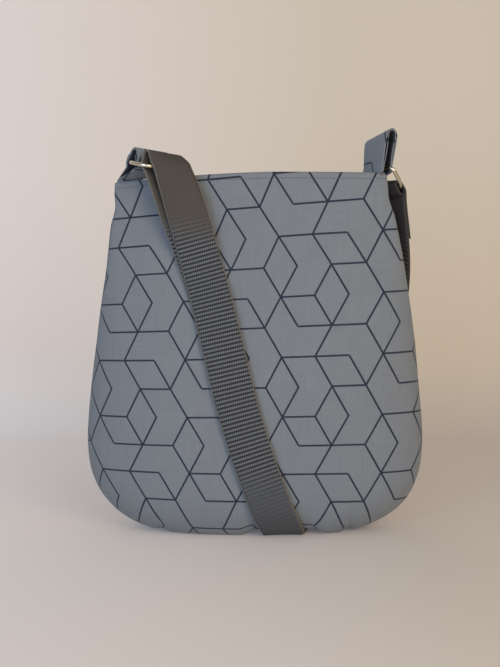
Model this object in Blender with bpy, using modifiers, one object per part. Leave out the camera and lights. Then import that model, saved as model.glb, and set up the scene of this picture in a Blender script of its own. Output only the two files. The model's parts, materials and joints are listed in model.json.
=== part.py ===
"""A small canvas crossbody bag: two darted panels with a lining, a zip across the mouth, a tab and a D-ring
at each top corner, and one length of webbing that runs doubled down the front and under the base."""

import math

import bmesh
import bpy
from mathutils import Matrix, Vector

MM = 0.001

# Bag body. Heights are measured up from the ground, widths and depths out from the middle planes.
BAG_HEIGHT = 266 * MM
MOUTH_HALF_WIDTH = 102.8 * MM
BELLY_HALF_WIDTH = 126.8 * MM
BELLY_HEIGHT = 74 * MM
BASE_HALF_WIDTH = 70 * MM
MOUTH_HALF_DEPTH = 10 * MM
BELLY_HALF_DEPTH = 39 * MM
BASE_HALF_DEPTH = 21 * MM
FULL_DEPTH_HEIGHT = 110 * MM
BASE_ROUND_HEIGHT = 40 * MM
TAPER_POWER = 1.3
CORNER_POWER = 2.6
SIDE_POWER = 2.5
SEAM_ROW_SHARE = 0.9
SEAM_FLAT = 0.4 * MM

# Cloth layers and the clearances between pieces.
CANVAS_THICK = 1.0 * MM
LINING_THICK = 0.6 * MM
LINING_GAP = 0.65 * MM
LINING_SIDE_INSET = 3.5 * MM
LINING_INSET = CANVAS_THICK + LINING_GAP
GAP = 0.3 * MM
TINY = 0.1 * MM
PANEL_COLUMNS = 26
PANEL_ROWS = 15
ROW_POWER = 1.8

# Webbing. Its layers lie STRAP_GAP apart and off the bag.
STRAP_WIDTH = 30 * MM
STRAP_THICK = 1.4 * MM
STRAP_GAP = 0.55 * MM
LAYER_STEP = STRAP_THICK + STRAP_GAP
INNER_OFFSET = STRAP_GAP + STRAP_THICK / 2
OUTER_OFFSET = INNER_OFFSET + LAYER_STEP
BASE_LIFT = GAP + 2 * STRAP_THICK + 2 * STRAP_GAP
LIFT_MARGIN = 4 * MM
LIFT_FADE_WIDTH = 13 * MM
LIFT_FADE_HEIGHT = 30 * MM
FRONT_BASE_X = 21 * MM
BACK_BASE_X = 30 * MM
FRONT_SWAY = 3.5 * MM
FRONT_TOUCH_DROP = 78 * MM
BACK_TOUCH_DROP = 104 * MM
BACK_TOUCH_X = 99 * MM
MERGE_HEIGHT = 120 * MM
FOLD_HEIGHT = 10.5 * MM
END_FLAP = 38 * MM
END_SEAM = 5 * MM
SPAN_HOLD = 0.25
SPAN_LEAVE = 1.0
SPAN_ARRIVE = 0.8
SPAN_END_WAY = Vector((-0.02, -0.16, 1.0))
FOLD_ARRIVE = 0.6
FRONT_STATIONS = 16
BACK_STATIONS = 11
UPPER_STATIONS = 5
SPAN_STATIONS = 6
STATION_POWER = 2.2
BASE_SHARES = (0.2, 0.5, 0.8)
HALF_TURN_STEPS = 8

# Rings, each with its bar through the fold of a tab.
RING_WIRE = 3.0 * MM
RING_INNER_WIDTH = STRAP_WIDTH + 1.4 * MM
RING_DEPTH = 19 * MM
RING_CORNER = 8 * MM
RING_BAR_CORNER = 3.5 * MM
RING_CORNER_STEPS = 5
RING_BAR_CORNER_STEPS = 3
LEFT_BAR_INSET = 23.9 * MM
LEFT_BAR_FORWARD = 10 * MM
LEFT_BAR_RISE = 8.2 * MM
LEFT_BAR = Vector((LEFT_BAR_INSET - MOUTH_HALF_WIDTH, -LEFT_BAR_FORWARD, LEFT_BAR_RISE))
LEFT_BAR_AXIS = Vector((0.77, 0.63, -0.06))
LEFT_RING_OUT = Vector((0.62, -0.76, -0.20))
LEFT_TAB_UP = Vector((0.12, -0.05, 0.99))
LEFT_TAB_RISE = 10.6 * MM
LEFT_CREST_AXIS = LEFT_BAR_AXIS
RIGHT_BAR_INSET = 10.2 * MM
RIGHT_BAR_BACK = 7 * MM
RIGHT_BAR_RISE = 7.6 * MM
RIGHT_BAR = Vector((MOUTH_HALF_WIDTH - RIGHT_BAR_INSET, RIGHT_BAR_BACK, RIGHT_BAR_RISE))
RIGHT_BAR_AXIS = Vector((-0.55, 0.83, 0.04))
RIGHT_RING_OUT = Vector((0.55, 0.27, -0.79))
RIGHT_TAB_UP = Vector((0.16, -0.02, 0.99))
RIGHT_TAB_RISE = 25.5 * MM
RIGHT_CREST_AXIS = Vector((0.50, -0.84, 0.20))

# Tabs: a doubled strip of the canvas, folded over the ring's bar, with both ends inside the mouth's corner.
TAB_WIDTH = 28 * MM
TAB_THICK = 1.4 * MM
TAB_FOOT_WIDTH = 11 * MM
TAB_FOOT_INSET = 6.6 * MM
TAB_FOOT_X = MOUTH_HALF_WIDTH - TAB_FOOT_INSET - TAB_FOOT_WIDTH / 2
TAB_FOOT_DEPTH = 11 * MM
TAB_CLEARANCE = 4.5 * GAP
TAB_WAIST_SHARE = 0.35
TAB_RIM_RISE = 1 * MM

# Zip, a little below the mouth's edge.
ZIP_DROP = 5 * MM
TAPE_CLEARANCE = 2 * MM
TAPE_END = 6 * MM
TAPE_HALF_LENGTH = TAB_FOOT_X - TAB_FOOT_WIDTH / 2 - TAPE_CLEARANCE
ZIP_HALF_LENGTH = TAPE_HALF_LENGTH - TAPE_END
TAPE_THICK = 0.5 * MM
TAPE_STEPS = 16
TEETH_INNER_Y = 0.6 * MM
TEETH_OUTER_Y = 2.3 * MM
TEETH_HEIGHT = 1.8 * MM
STOP_LENGTH = 2 * MM
STOP_WALL = 0.4 * MM
ZIP_SLIDER_LENGTH = 9 * MM
ZIP_SLIDER_WIDTH = 8 * MM
ZIP_PLATE = 1.0 * MM
ZIP_POST_LENGTH = 3 * MM
ZIP_POST_WIDTH = 0.6 * MM
ZIP_SLIDER_X = -39 * MM
BAIL_WIRE = 1.0 * MM
BAIL_RADIUS = 1.7 * MM
PULL_LENGTH = 21 * MM
PULL_WIDTH = 6 * MM
PULL_THICK = 1.1 * MM
PULL_EYE_WIDTH = 2.6 * MM
PULL_EYE_LENGTH = 4.5 * MM
EDGE = 0.25 * MM

# Strap slider: a frame with a middle bar, lying on the bag's back.
SLIDER_BAR = 3 * MM
SLIDER_SLOT = 9.7 * MM
SLIDER_SIDE = 3 * MM
SLIDER_THICK = 2.4 * MM
SLIDER_HEIGHT = 100 * MM
SLIDER_FLAP = 27 * MM


def smoothstep(t):
    t = min(max(t, 0.0), 1.0)
    return t * t * (3 - 2 * t)


def half_width(z):
    if z >= BELLY_HEIGHT:
        rise = (z - BELLY_HEIGHT) / (BAG_HEIGHT - BELLY_HEIGHT)
        return BELLY_HALF_WIDTH - (BELLY_HALF_WIDTH - MOUTH_HALF_WIDTH) * rise**TAPER_POWER
    drop = 1 - max(z, 0) / BELLY_HEIGHT
    return BASE_HALF_WIDTH + (BELLY_HALF_WIDTH - BASE_HALF_WIDTH) * math.sqrt(1 - drop**CORNER_POWER)


def half_depth(z):
    if z >= FULL_DEPTH_HEIGHT:
        rise = (z - FULL_DEPTH_HEIGHT) / (BAG_HEIGHT - FULL_DEPTH_HEIGHT)
        return BELLY_HALF_DEPTH - (BELLY_HALF_DEPTH - MOUTH_HALF_DEPTH) * smoothstep(rise)
    drop = max(0, 1 - max(z, 0) / BASE_ROUND_HEIGHT)
    return BASE_HALF_DEPTH + (BELLY_HALF_DEPTH - BASE_HALF_DEPTH) * math.sqrt(1 - drop**2)


def wall_y(x, z, inset=0, side_inset=0):
    """Distance at (x, z) from the middle plane to the bag's outer face, or to a layer inside it."""
    share = min(abs(x) / (half_width(z) - side_inset), 1.0)
    return (half_depth(z) - inset) * math.sqrt(1 - share**SIDE_POWER)


def lift(x, y, z):
    """How far the doubled webbing under the base pushes the canvas up at a point."""
    middle = (FRONT_BASE_X + BACK_BASE_X) / 2
    lean = (BACK_BASE_X - FRONT_BASE_X) / (2 * BASE_HALF_DEPTH)
    half_band = STRAP_WIDTH / 2 * math.hypot(1, lean) + LIFT_MARGIN
    outside = (abs(x - middle - lean * y) - half_band) / LIFT_FADE_WIDTH
    return BASE_LIFT * (1 - smoothstep(outside)) * (1 - smoothstep(z / LIFT_FADE_HEIGHT))


def face_point(x, z, side):
    """A point on the bag's outer face, on the front (side -1) or the back (side 1)."""
    y = side * wall_y(x, z)
    return Vector((x, y, z + lift(x, y, z)))


def on_bag(x, z, side, offset):
    """(point, normal) at a distance off the bag's outer face."""
    across = face_point(x + TINY, z, side) - face_point(x - TINY, z, side)
    up = face_point(x, z + TINY, side) - face_point(x, max(z - TINY, 0), side)
    normal = across.cross(up).normalized() * -side
    return face_point(x, z, side) + normal * offset, normal


def collection(name):
    made = bpy.data.collections.new(name)
    bpy.context.scene.collection.children.link(made)
    return made


def srgb(hex_code):
    """Linear RGBA of an sRGB colour such as 0x8A9088."""
    parts = [(hex_code >> shift & 255) / 255 for shift in (16, 8, 0)]
    return [c / 12.92 if c <= 0.04045 else ((c + 0.055) / 1.055) ** 2.4 for c in parts] + [1]


def material(name, hex_code, roughness, metallic=0.0):
    made = bpy.data.materials.new(name)
    made.use_nodes = True
    shader = made.node_tree.nodes["Principled BSDF"]
    shader.inputs["Base Color"].default_value = srgb(hex_code)
    shader.inputs["Roughness"].default_value = roughness
    shader.inputs["Metallic"].default_value = metallic
    return made


def add(name, data, group, surface=None, frame=None):
    """A new object from mesh or curve data, in a collection, with its material and its place."""
    obj = bpy.data.objects.new(name, data)
    group.objects.link(obj)
    if surface:
        data.materials.append(surface)
    if frame:
        obj.matrix_world = frame
    return obj


def mesh_of(name, bm):
    data = bpy.data.meshes.new(name)
    bm.to_mesh(data)
    bm.free()
    return data


def grid_mesh(name, rows, flip=False):
    """An open quad surface through rows of points."""
    bm = bmesh.new()
    verts = [[bm.verts.new(point) for point in row] for row in rows]
    for low, high in zip(verts, verts[1:]):
        for i in range(len(low) - 1):
            bm.faces.new([low[i], low[i + 1], high[i + 1], high[i]])
    if flip:
        bmesh.ops.reverse_faces(bm, faces=bm.faces)
    return mesh_of(name, bm)


def solidify(obj, thickness, offset):
    made = obj.modifiers.new("thickness", "SOLIDIFY")
    made.thickness = thickness
    made.offset = offset
    made.use_even_offset = True
    return obj


def box_mesh(name, low, high):
    bm = bmesh.new()
    bmesh.ops.create_cube(bm, size=1)
    size = Vector(high) - Vector(low)
    middle = (Vector(high) + Vector(low)) / 2
    for vert in bm.verts:
        vert.co = Vector(a * b for a, b in zip(vert.co, size)) + middle
    return mesh_of(name, bm)


def bevel(obj, width):
    made = obj.modifiers.new("edges", "BEVEL")
    made.width = width
    made.segments = 1
    made.limit_method = "ANGLE"
    return obj


def boolean(obj, operation, data, frame):
    """Joins or cuts an object with a helper mesh that shares its frame."""
    helper = add(f"{obj.name}_{operation.lower()}_{len(obj.modifiers)}", data, helpers, frame=frame)
    helper.hide_render = True
    helper.display_type = "WIRE"
    made = obj.modifiers.new(operation.lower(), "BOOLEAN")
    made.operation = operation
    made.object = helper


def wire_curve(name, points, diameter, closed):
    """A round wire through points, as a curve with filled caps."""
    data = bpy.data.curves.new(name, "CURVE")
    data.dimensions = "3D"
    data.bevel_depth = diameter / 2
    data.bevel_resolution = 2
    data.use_fill_caps = True
    spline = data.splines.new("POLY")
    spline.points.add(len(points) - 1)
    for target, point in zip(spline.points, points):
        target.co = (*point, 1)
    spline.use_cyclic_u = closed
    return data


def mesh_from_curve(data):
    """A closed mesh of a curve, for a helper of a Boolean."""
    guide = add("guide", data, helpers)
    graph = bpy.context.evaluated_depsgraph_get()
    made = bpy.data.meshes.new_from_object(guide.evaluated_get(graph))
    bpy.data.objects.remove(guide)
    bm = bmesh.new()
    bm.from_mesh(made)
    bmesh.ops.remove_doubles(bm, verts=bm.verts, dist=0.01 * MM)
    bm.to_mesh(made)
    bm.free()
    return made


def frame_of(origin, first, second):
    """A placement whose X axis follows first and whose Y axis is as near to second as it can be."""
    x = first.normalized()
    z = x.cross(second).normalized()
    y = z.cross(x)
    return Matrix.Translation(origin) @ Matrix((x, y, z)).transposed().to_4x4()


def panel_columns():
    """(width share, depth share, least depth) of a panel's columns, with a flat strip beside each seam."""
    turns = [math.pi * i / PANEL_COLUMNS for i in range(1, PANEL_COLUMNS)]
    arc = [(math.copysign(abs(math.cos(t)) ** (2 / SIDE_POWER), math.cos(t)), math.sin(t), 0) for t in turns]
    seam = GAP / 2
    strip = seam + SEAM_FLAT
    return [(1, 0, seam), (1, 0, strip), *arc, (-1, 0, strip), (-1, 0, seam)]


def panel_rows(side, inset, side_inset):
    """Rows of points from the bottom seam up to the mouth, the given distances inside the outer face."""
    columns = panel_columns()
    rows = [[]]
    for share, _, least in columns:
        x = ((BASE_HALF_WIDTH - side_inset) * SEAM_ROW_SHARE - (TINY if least != GAP / 2 else 0)) * share
        rows[0].append(Vector((x, side * GAP / 2, inset + lift(x, 0, 0))))
    for i in range(PANEL_ROWS + 1):
        z = BAG_HEIGHT * (i / PANEL_ROWS) ** ROW_POWER
        row = []
        for share, deep, least in columns:
            x = (half_width(z) - side_inset) * share
            y = side * max(least, (half_depth(z) - inset) * deep)
            row.append(Vector((x, y, z + inset * (1 - z / BAG_HEIGHT) + lift(x, y, z))))
        rows.append(row)
    return rows


def panel(name, side, inset, side_inset, thickness, surface):
    """One panel of the bag or of its lining, from the bottom seam to the mouth."""
    data = grid_mesh(name, panel_rows(side, inset, side_inset), flip=side < 0)
    return solidify(add(name, data, parts, surface), thickness, -1)


def ribbon(name, stations, thickness, surface):
    """A strip of cloth through (centre, half-width vector) stations."""
    rows = [(centre - half, centre + half) for centre, half in stations]
    return solidify(add(name, grid_mesh(name, rows), parts, surface), thickness, 0)


def ring_frame(left):
    """Placement of a D-ring: origin in the middle of its bar, X along the bar, Y out to the curved side."""
    if left:
        return frame_of(LEFT_BAR + Vector((0, 0, BAG_HEIGHT)), LEFT_BAR_AXIS, LEFT_RING_OUT)
    return frame_of(RIGHT_BAR + Vector((0, 0, BAG_HEIGHT)), RIGHT_BAR_AXIS, RIGHT_RING_OUT)


def ring_points():
    """Half the ring's outline as arcs and straights, mirrored for the other half."""
    half = (RING_INNER_WIDTH + RING_WIRE) / 2
    points = []
    for y, radius, start, steps in (
        (RING_BAR_CORNER, RING_BAR_CORNER, -90, RING_BAR_CORNER_STEPS),
        (RING_DEPTH - RING_CORNER, RING_CORNER, 0, RING_CORNER_STEPS),
    ):
        for i in range(steps + 1):
            turn = math.radians(start + 90 * i / steps)
            points.append((half - radius + radius * math.cos(turn), y + radius * math.sin(turn), 0))
    return points + [(-x, y, z) for x, y, z in reversed(points)]


def ring(name, left):
    data = wire_curve(name, ring_points(), RING_WIRE, True)
    return add(name, data, parts, nickel, ring_frame(left))


def tab(name, left):
    """A folded strip: up from one end inside the mouth, over the ring's bar and down to the other end."""
    place = (LEFT_BAR if left else RIGHT_BAR) + Vector((0, 0, BAG_HEIGHT))
    rise = LEFT_TAB_RISE if left else RIGHT_TAB_RISE
    axis = (LEFT_BAR_AXIS if left else -RIGHT_BAR_AXIS).normalized()
    across = axis.cross(LEFT_TAB_UP if left else RIGHT_TAB_UP).normalized()
    up = across.cross(axis)
    foot_x = math.copysign(TAB_FOOT_X, place.x)
    foot = Vector((foot_x, 0, BAG_HEIGHT - TAB_FOOT_DEPTH))
    rim = Vector((foot_x, 0, BAG_HEIGHT + TAB_RIM_RISE))
    foot_half = Vector((TAB_FOOT_WIDTH / 2, 0, 0))
    forward = Vector((0, -1, 0))
    top_half = axis * TAB_WIDTH / 2
    crest_half = (LEFT_CREST_AXIS if left else RIGHT_CREST_AXIS).normalized() * TAB_WIDTH / 2
    closed = TAB_THICK / 2 + GAP / 2
    neck = RING_WIRE / 2 + TAB_CLEARANCE + TAB_THICK / 2
    belly = neck + GAP * 2
    beside = place - up * neck
    waist = rim.lerp(beside, TAB_WAIST_SHARE)
    waist_half = foot_half.lerp(top_half, TAB_WAIST_SHARE)
    leg = [
        (foot, foot_half, closed, forward),
        (rim, foot_half, closed, forward),
        (waist, waist_half, neck, across.lerp(forward, TAB_WAIST_SHARE)),
        (beside, top_half, neck, across),
        (place, top_half, neck, across),
        (place + up * rise * 0.5, top_half.lerp(crest_half, 0.5), belly, across),
        (place + up * (rise - belly), crest_half, belly, across),
        (place + up * (rise - belly * 0.3), crest_half, belly * 0.7, across),
    ]
    front = [(point + direction * out, half) for point, half, out, direction in leg]
    back = [(point - direction * out, half) for point, half, out, direction in reversed(leg)]
    return ribbon(name, front + [(place + up * rise, crest_half)] + back, TAB_THICK, canvas)


def front_line(z, inner):
    """X of the webbing's centre on the front at a height, for the outer or the inner of its two layers."""
    frame = ring_frame(True)
    top = frame @ Vector((0, strap_pass(False), 0))
    run = z / top.z
    outer = FRONT_BASE_X + (top.x - FRONT_BASE_X) * run - FRONT_SWAY * math.sin(2 * math.pi * run)
    if not inner:
        return outer
    shift = (frame @ Vector((0, strap_pass(True), 0))).x - top.x
    return outer + shift * max(0, (z - MERGE_HEIGHT) / (top.z - MERGE_HEIGHT)) ** 2


def strap_pass(inner):
    """Distance from a ring's bar at which the webbing passes its plane, inside the ring or past its wire."""
    if not inner:
        return RING_DEPTH + RING_WIRE / 2 + STRAP_GAP + STRAP_THICK / 2
    reach = RING_CORNER - RING_WIRE / 2
    beyond = STRAP_WIDTH / 2 + GAP - ((RING_INNER_WIDTH + RING_WIRE) / 2 - RING_CORNER)
    return RING_DEPTH - RING_CORNER + math.sqrt(reach**2 - beyond**2) - STRAP_THICK / 2


def layer_run(inner, side, low, high, count, line):
    """Stations up the bag's front or back, against its face, bunched towards the base."""
    offset = INNER_OFFSET if inner else OUTER_OFFSET
    found = []
    for i in range(count):
        z = low + (high - low) * (i / (count - 1)) ** STATION_POWER
        point, normal = on_bag(line(z), z, side, offset)
        ahead, _ = on_bag(line(z + MM), z + MM, side, offset)
        across = normal.cross(ahead - point).normalized() * -side
        found.append((point, across * (STRAP_WIDTH / 2) * math.copysign(1, across.x)))
    return found


def base_run(inner):
    """Stations under the base, from the front edge to the back one."""
    offset = INNER_OFFSET if inner else OUTER_OFFSET
    z = BASE_LIFT - offset
    across = Vector((2 * BASE_HALF_DEPTH, FRONT_BASE_X - BACK_BASE_X, 0)).normalized() * STRAP_WIDTH / 2
    front = Vector((FRONT_BASE_X, -BASE_HALF_DEPTH, z))
    back = Vector((BACK_BASE_X, BASE_HALF_DEPTH, z))
    return [(front.lerp(back, share), across) for share in BASE_SHARES]


def hermite(start, start_way, end, end_way, count):
    """Points of a smooth curve between two places, leaving and arriving along the given vectors."""
    found = []
    for i in range(1, count):
        t = i / count
        found.append(
            start * (2 * t**3 - 3 * t**2 + 1)
            + start_way * (t**3 - 2 * t**2 + t)
            + end * (3 * t**2 - 2 * t**3)
            + end_way * (t**3 - t**2)
        )
    return found


def span(start, end, start_way, end_way, count):
    """Stations of a free stretch of webbing, which turns to the ring's bar over its upper part."""
    points = hermite(start[0], start_way, end[0], end_way, count)
    found = []
    for i, point in enumerate(points, 1):
        turn = smoothstep((i / count - SPAN_HOLD) / (1 - SPAN_HOLD))
        found.append((point, start[1].lerp(end[1], turn).normalized() * STRAP_WIDTH / 2))
    return found


def left_fold():
    """Stations up behind the left ring's curved side, over it and down in front."""
    frame = ring_frame(True)
    inside = strap_pass(True)
    outside = strap_pass(False)
    middle = (inside + outside) / 2
    radius = (outside - inside) / 2
    half = frame.to_3x3() @ Vector((STRAP_WIDTH / 2, 0, 0))
    up = -1 if (frame.to_3x3() @ Vector((0, 0, 1))).z < 0 else 1
    found = [(frame @ Vector((0, inside, 0)), half)]
    for i in range(HALF_TURN_STEPS + 1):
        turn = math.pi * i / HALF_TURN_STEPS
        rise = FOLD_HEIGHT - radius * (1 - math.sin(turn))
        found.append((frame @ Vector((0, middle - radius * math.cos(turn), up * rise)), half))
    return found + [(frame @ Vector((0, outside, 0)), half)]


def right_fold():
    """Stations round the right ring's curved side: up beside it, through the ring and back."""
    frame = ring_frame(False)
    inside = strap_pass(True)
    beside = RING_WIRE / 2 + STRAP_GAP + STRAP_THICK / 2
    sewn = RING_DEPTH + END_SEAM
    half = frame.to_3x3() @ Vector((-STRAP_WIDTH / 2, 0, 0))
    profile = [(sewn, 0), (RING_DEPTH + RING_WIRE, beside), (inside + beside, beside)]
    for i in range(1, HALF_TURN_STEPS):
        turn = math.pi * i / HALF_TURN_STEPS
        profile.append((inside + beside * (1 - math.sin(turn)), beside * math.cos(turn)))
    profile += [(inside + beside, -beside), (RING_DEPTH + RING_WIRE, -beside), (sewn, -LAYER_STEP)]
    return [(frame @ Vector((0, out, away)), half) for out, away in profile]


def back_line(z):
    """X of the webbing's centre on the back at a height."""
    return BACK_BASE_X + (BACK_TOUCH_X - BACK_BASE_X) * z / (BAG_HEIGHT - BACK_TOUCH_DROP)


def slider_frame():
    """Placement at the strap slider: origin on the bag's face, X across the webbing, Y up along it, Z out."""
    point, normal = on_bag(back_line(SLIDER_HEIGHT), SLIDER_HEIGHT, 1, 0)
    ahead, _ = on_bag(back_line(SLIDER_HEIGHT + MM), SLIDER_HEIGHT + MM, 1, 0)
    way = (ahead - point).normalized()
    return frame_of(point, way.cross(normal), way)


def slider_middle():
    """Height of the strap slider's middle above the bag's face: three layers of webbing lie under it."""
    return OUTER_OFFSET + LAYER_STEP + STRAP_THICK / 2 + STRAP_GAP + SLIDER_THICK / 2


def slider_loop():
    """Stations of the sewn end: from the tip of its flap up round the middle bar and down beside the bag."""
    middle = slider_middle()
    round_bar = SLIDER_THICK / 2 + STRAP_GAP + STRAP_THICK / 2
    beside_bar = SLIDER_BAR / 2 + STRAP_GAP + STRAP_THICK / 2
    flap = OUTER_OFFSET
    profile = [
        (-SLIDER_FLAP, flap),
        (-beside_bar * 4, flap),
        (-beside_bar * 2.5, flap + STRAP_THICK),
        (-beside_bar * 1.1, middle + STRAP_GAP),
        (-beside_bar * 0.6, middle + round_bar * 0.9),
        (0, middle + round_bar),
        (beside_bar * 0.8, middle + round_bar * 0.7),
        (beside_bar, middle),
        (beside_bar * 0.7, middle - round_bar * 0.8),
        (0, middle - round_bar),
        (-beside_bar * 1.3, middle - round_bar * 1.35),
        (-beside_bar * 2.5, INNER_OFFSET + STRAP_GAP * 2),
        (-beside_bar * 4, INNER_OFFSET),
    ]
    return in_slider(profile)


def slider_weave():
    """Stations of the running layer: behind the lower bar, over the middle one and behind the upper one."""
    under = slider_middle() - SLIDER_THICK / 2 - STRAP_GAP - STRAP_THICK / 2
    over = slider_middle() + SLIDER_THICK / 2 + 2 * STRAP_GAP + 1.5 * STRAP_THICK
    end = SLIDER_BAR / 2 + SLIDER_SLOT
    crown = SLIDER_BAR / 2 + 1.7 * STRAP_THICK
    bend = end - STRAP_GAP * 1.5
    outer = end + SLIDER_BAR + STRAP_GAP
    profile = [(-outer, under), (-bend, under), (-crown, over), (crown, over), (bend, under), (outer, under)]
    return in_slider(profile)


def in_slider(profile):
    frame = slider_frame()
    half = frame.to_3x3() @ Vector((STRAP_WIDTH / 2, 0, 0))
    half *= math.copysign(1, half.x)
    return [(frame @ Vector((0, along, out)), half) for along, out in profile]


def strap_stations():
    """The webbing's whole route, from the end sewn round its slider to the end sewn round the right ring."""
    touch = BAG_HEIGHT - FRONT_TOUCH_DROP
    loop = slider_loop()
    weave = slider_weave()
    fold = left_fold()
    ring_loop = right_fold()
    inner_front = layer_run(True, -1, 0, touch, FRONT_STATIONS, lambda z: front_line(z, True))
    outer_front = layer_run(False, -1, 0, touch, FRONT_STATIONS, lambda z: front_line(z, False))
    low_back = SLIDER_HEIGHT - SLIDER_FLAP - STRAP_WIDTH / 2
    inner_back = layer_run(True, 1, 0, low_back, BACK_STATIONS, back_line)
    outer_back = layer_run(False, 1, 0, low_back, BACK_STATIONS, back_line)
    upper_low = SLIDER_HEIGHT + STRAP_WIDTH
    upper_back = layer_run(True, 1, upper_low, BAG_HEIGHT - BACK_TOUCH_DROP, UPPER_STATIONS, back_line)
    rise = fold[0][0].z - touch
    fold_way = (fold[1][0] - fold[0][0]).normalized() * rise * FOLD_ARRIVE
    stations = loop + inner_back[::-1] + base_run(True)[::-1] + inner_front
    slope = (inner_front[-1][0] - inner_front[-2][0]).normalized() * rise
    stations += span(inner_front[-1], fold[0], slope, fold_way, SPAN_STATIONS) + fold
    slope = (outer_front[-1][0] - outer_front[-2][0]).normalized() * rise
    stations += span(outer_front[-1], fold[-1], slope, fold_way, SPAN_STATIONS)[::-1]
    stations += outer_front[::-1] + base_run(False) + outer_back + weave + upper_back
    gap = (ring_loop[0][0] - upper_back[-1][0]).length
    leave = (upper_back[-1][0] - upper_back[-2][0]).normalized() * gap * SPAN_LEAVE
    arrive = SPAN_END_WAY.normalized() * gap * SPAN_ARRIVE
    side = span(upper_back[-1], ring_loop[0], leave, arrive, SPAN_STATIONS + 1)
    stations += side
    stations += ring_loop
    away = (ring_frame(False).to_3x3() @ Vector((0, 0, -1))) * LAYER_STEP
    length = (ring_loop[-1][0] - ring_loop[-2][0]).length
    for point, half in reversed(side):
        length += (stations[-1][0] - point - away).length
        if length > END_FLAP:
            break
        stations.append((point + away, half))
    return stations


def zip_box(name, low, high, surface, frame):
    return bevel(add(name, box_mesh(name, low, high), parts, surface, frame), EDGE)


def zip_parts():
    """The zip's two tapes and rows of teeth, its stops, and its slider with the pull."""
    level = BAG_HEIGHT - ZIP_DROP
    at_zip = Matrix.Translation((0, 0, level))
    half_teeth = TEETH_HEIGHT / 2
    for side, name in ((-1, "front"), (1, "back")):
        rows = []
        for i in range(TAPE_STEPS + 1):
            x = TAPE_HALF_LENGTH * (2 * i / TAPE_STEPS - 1)
            _, normal = on_bag(x, level, side, 0)
            lining = wall_y(x, level, LINING_INSET, LINING_SIDE_INSET)
            edge = side * (lining - (LINING_THICK + GAP) / abs(normal.y))
            rows.append(((x, side * (TEETH_OUTER_Y + GAP), level), (x, edge, level)))
        tape = grid_mesh(f"zip_tape_{name}", rows)
        solidify(add(f"zip_tape_{name}", tape, parts, tape_cloth), TAPE_THICK, 0)
        inner, outer = sorted((side * TEETH_INNER_Y, side * TEETH_OUTER_Y))
        low = (-ZIP_HALF_LENGTH, inner, -half_teeth)
        zip_box(f"zip_teeth_{name}", low, (ZIP_HALF_LENGTH, outer, half_teeth), teeth_metal, at_zip)
        low = (-ZIP_HALF_LENGTH - GAP - STOP_LENGTH, inner, -half_teeth - STOP_WALL)
        high = (-ZIP_HALF_LENGTH - GAP, outer, half_teeth + STOP_WALL)
        zip_box(f"zip_top_stop_{name}", low, high, teeth_metal, at_zip)
    low = (ZIP_HALF_LENGTH + GAP, -TEETH_OUTER_Y, -half_teeth - STOP_WALL)
    high = (ZIP_HALF_LENGTH + GAP + STOP_LENGTH * 1.5, TEETH_OUTER_Y, half_teeth + STOP_WALL)
    zip_box("zip_bottom_stop", low, high, teeth_metal, at_zip)


def zip_slider():
    """Two plates joined by a post between the rows of teeth, with lips round them and a bail on top."""
    frame = Matrix.Translation((ZIP_SLIDER_X, 0, BAG_HEIGHT - ZIP_DROP))
    inside = TEETH_HEIGHT / 2 + GAP
    long = ZIP_SLIDER_LENGTH / 2
    wide = ZIP_SLIDER_WIDTH / 2
    lip = TEETH_OUTER_Y + GAP
    top = inside + ZIP_PLATE
    middle = inside + ZIP_PLATE / 2
    plate = box_mesh("zip_slider", (-long, -wide, inside), (long, wide, top))
    body = add("zip_slider", plate, parts, nickel, frame)
    half_post = ZIP_POST_WIDTH / 2
    post = box_mesh("post", (-long, -half_post, -middle), (ZIP_POST_LENGTH - long, half_post, middle))
    boolean(body, "UNION", post, frame)
    boolean(body, "UNION", box_mesh("lower_plate", (-long, -wide, -top), (long, wide, -inside)), frame)
    for y_low, y_high in ((-wide, -lip), (lip, wide)):
        for z_low, z_high in ((TAPE_THICK, middle), (-middle, -TAPE_THICK)):
            boolean(body, "UNION", box_mesh("lip", (-long, y_low, z_low), (long, y_high, z_high)), frame)
    arch = [(-BAIL_RADIUS, 0, middle)]
    for i in range(HALF_TURN_STEPS + 1):
        turn = math.pi * i / HALF_TURN_STEPS
        arch.append((-BAIL_RADIUS * math.cos(turn), 0, bail_height() + BAIL_RADIUS * math.sin(turn)))
    arch.append((BAIL_RADIUS, 0, middle))
    boolean(body, "UNION", mesh_from_curve(wire_curve("bail", arch, BAIL_WIRE, False)), frame)


def bail_height():
    """Height above the zip's level of the axis that the pull turns on."""
    return TEETH_HEIGHT / 2 + GAP + ZIP_PLATE + PULL_THICK


def zip_pull():
    """A flat pull, lying along the zip, with an eye whose end bar turns under the slider's bail."""
    frame = Matrix.Translation((ZIP_SLIDER_X, 0, BAG_HEIGHT - ZIP_DROP + bail_height()))
    half = PULL_THICK / 2
    wide = PULL_WIDTH / 2
    plate = box_mesh("zip_pull", (-half, -wide, -half), (PULL_LENGTH, wide, half))
    pull = add("zip_pull", plate, parts, nickel, frame)
    eye_wide = PULL_EYE_WIDTH / 2
    eye = box_mesh("eye", (half, -eye_wide, -PULL_THICK), (PULL_EYE_LENGTH, eye_wide, PULL_THICK))
    boolean(pull, "DIFFERENCE", eye, frame)


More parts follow.
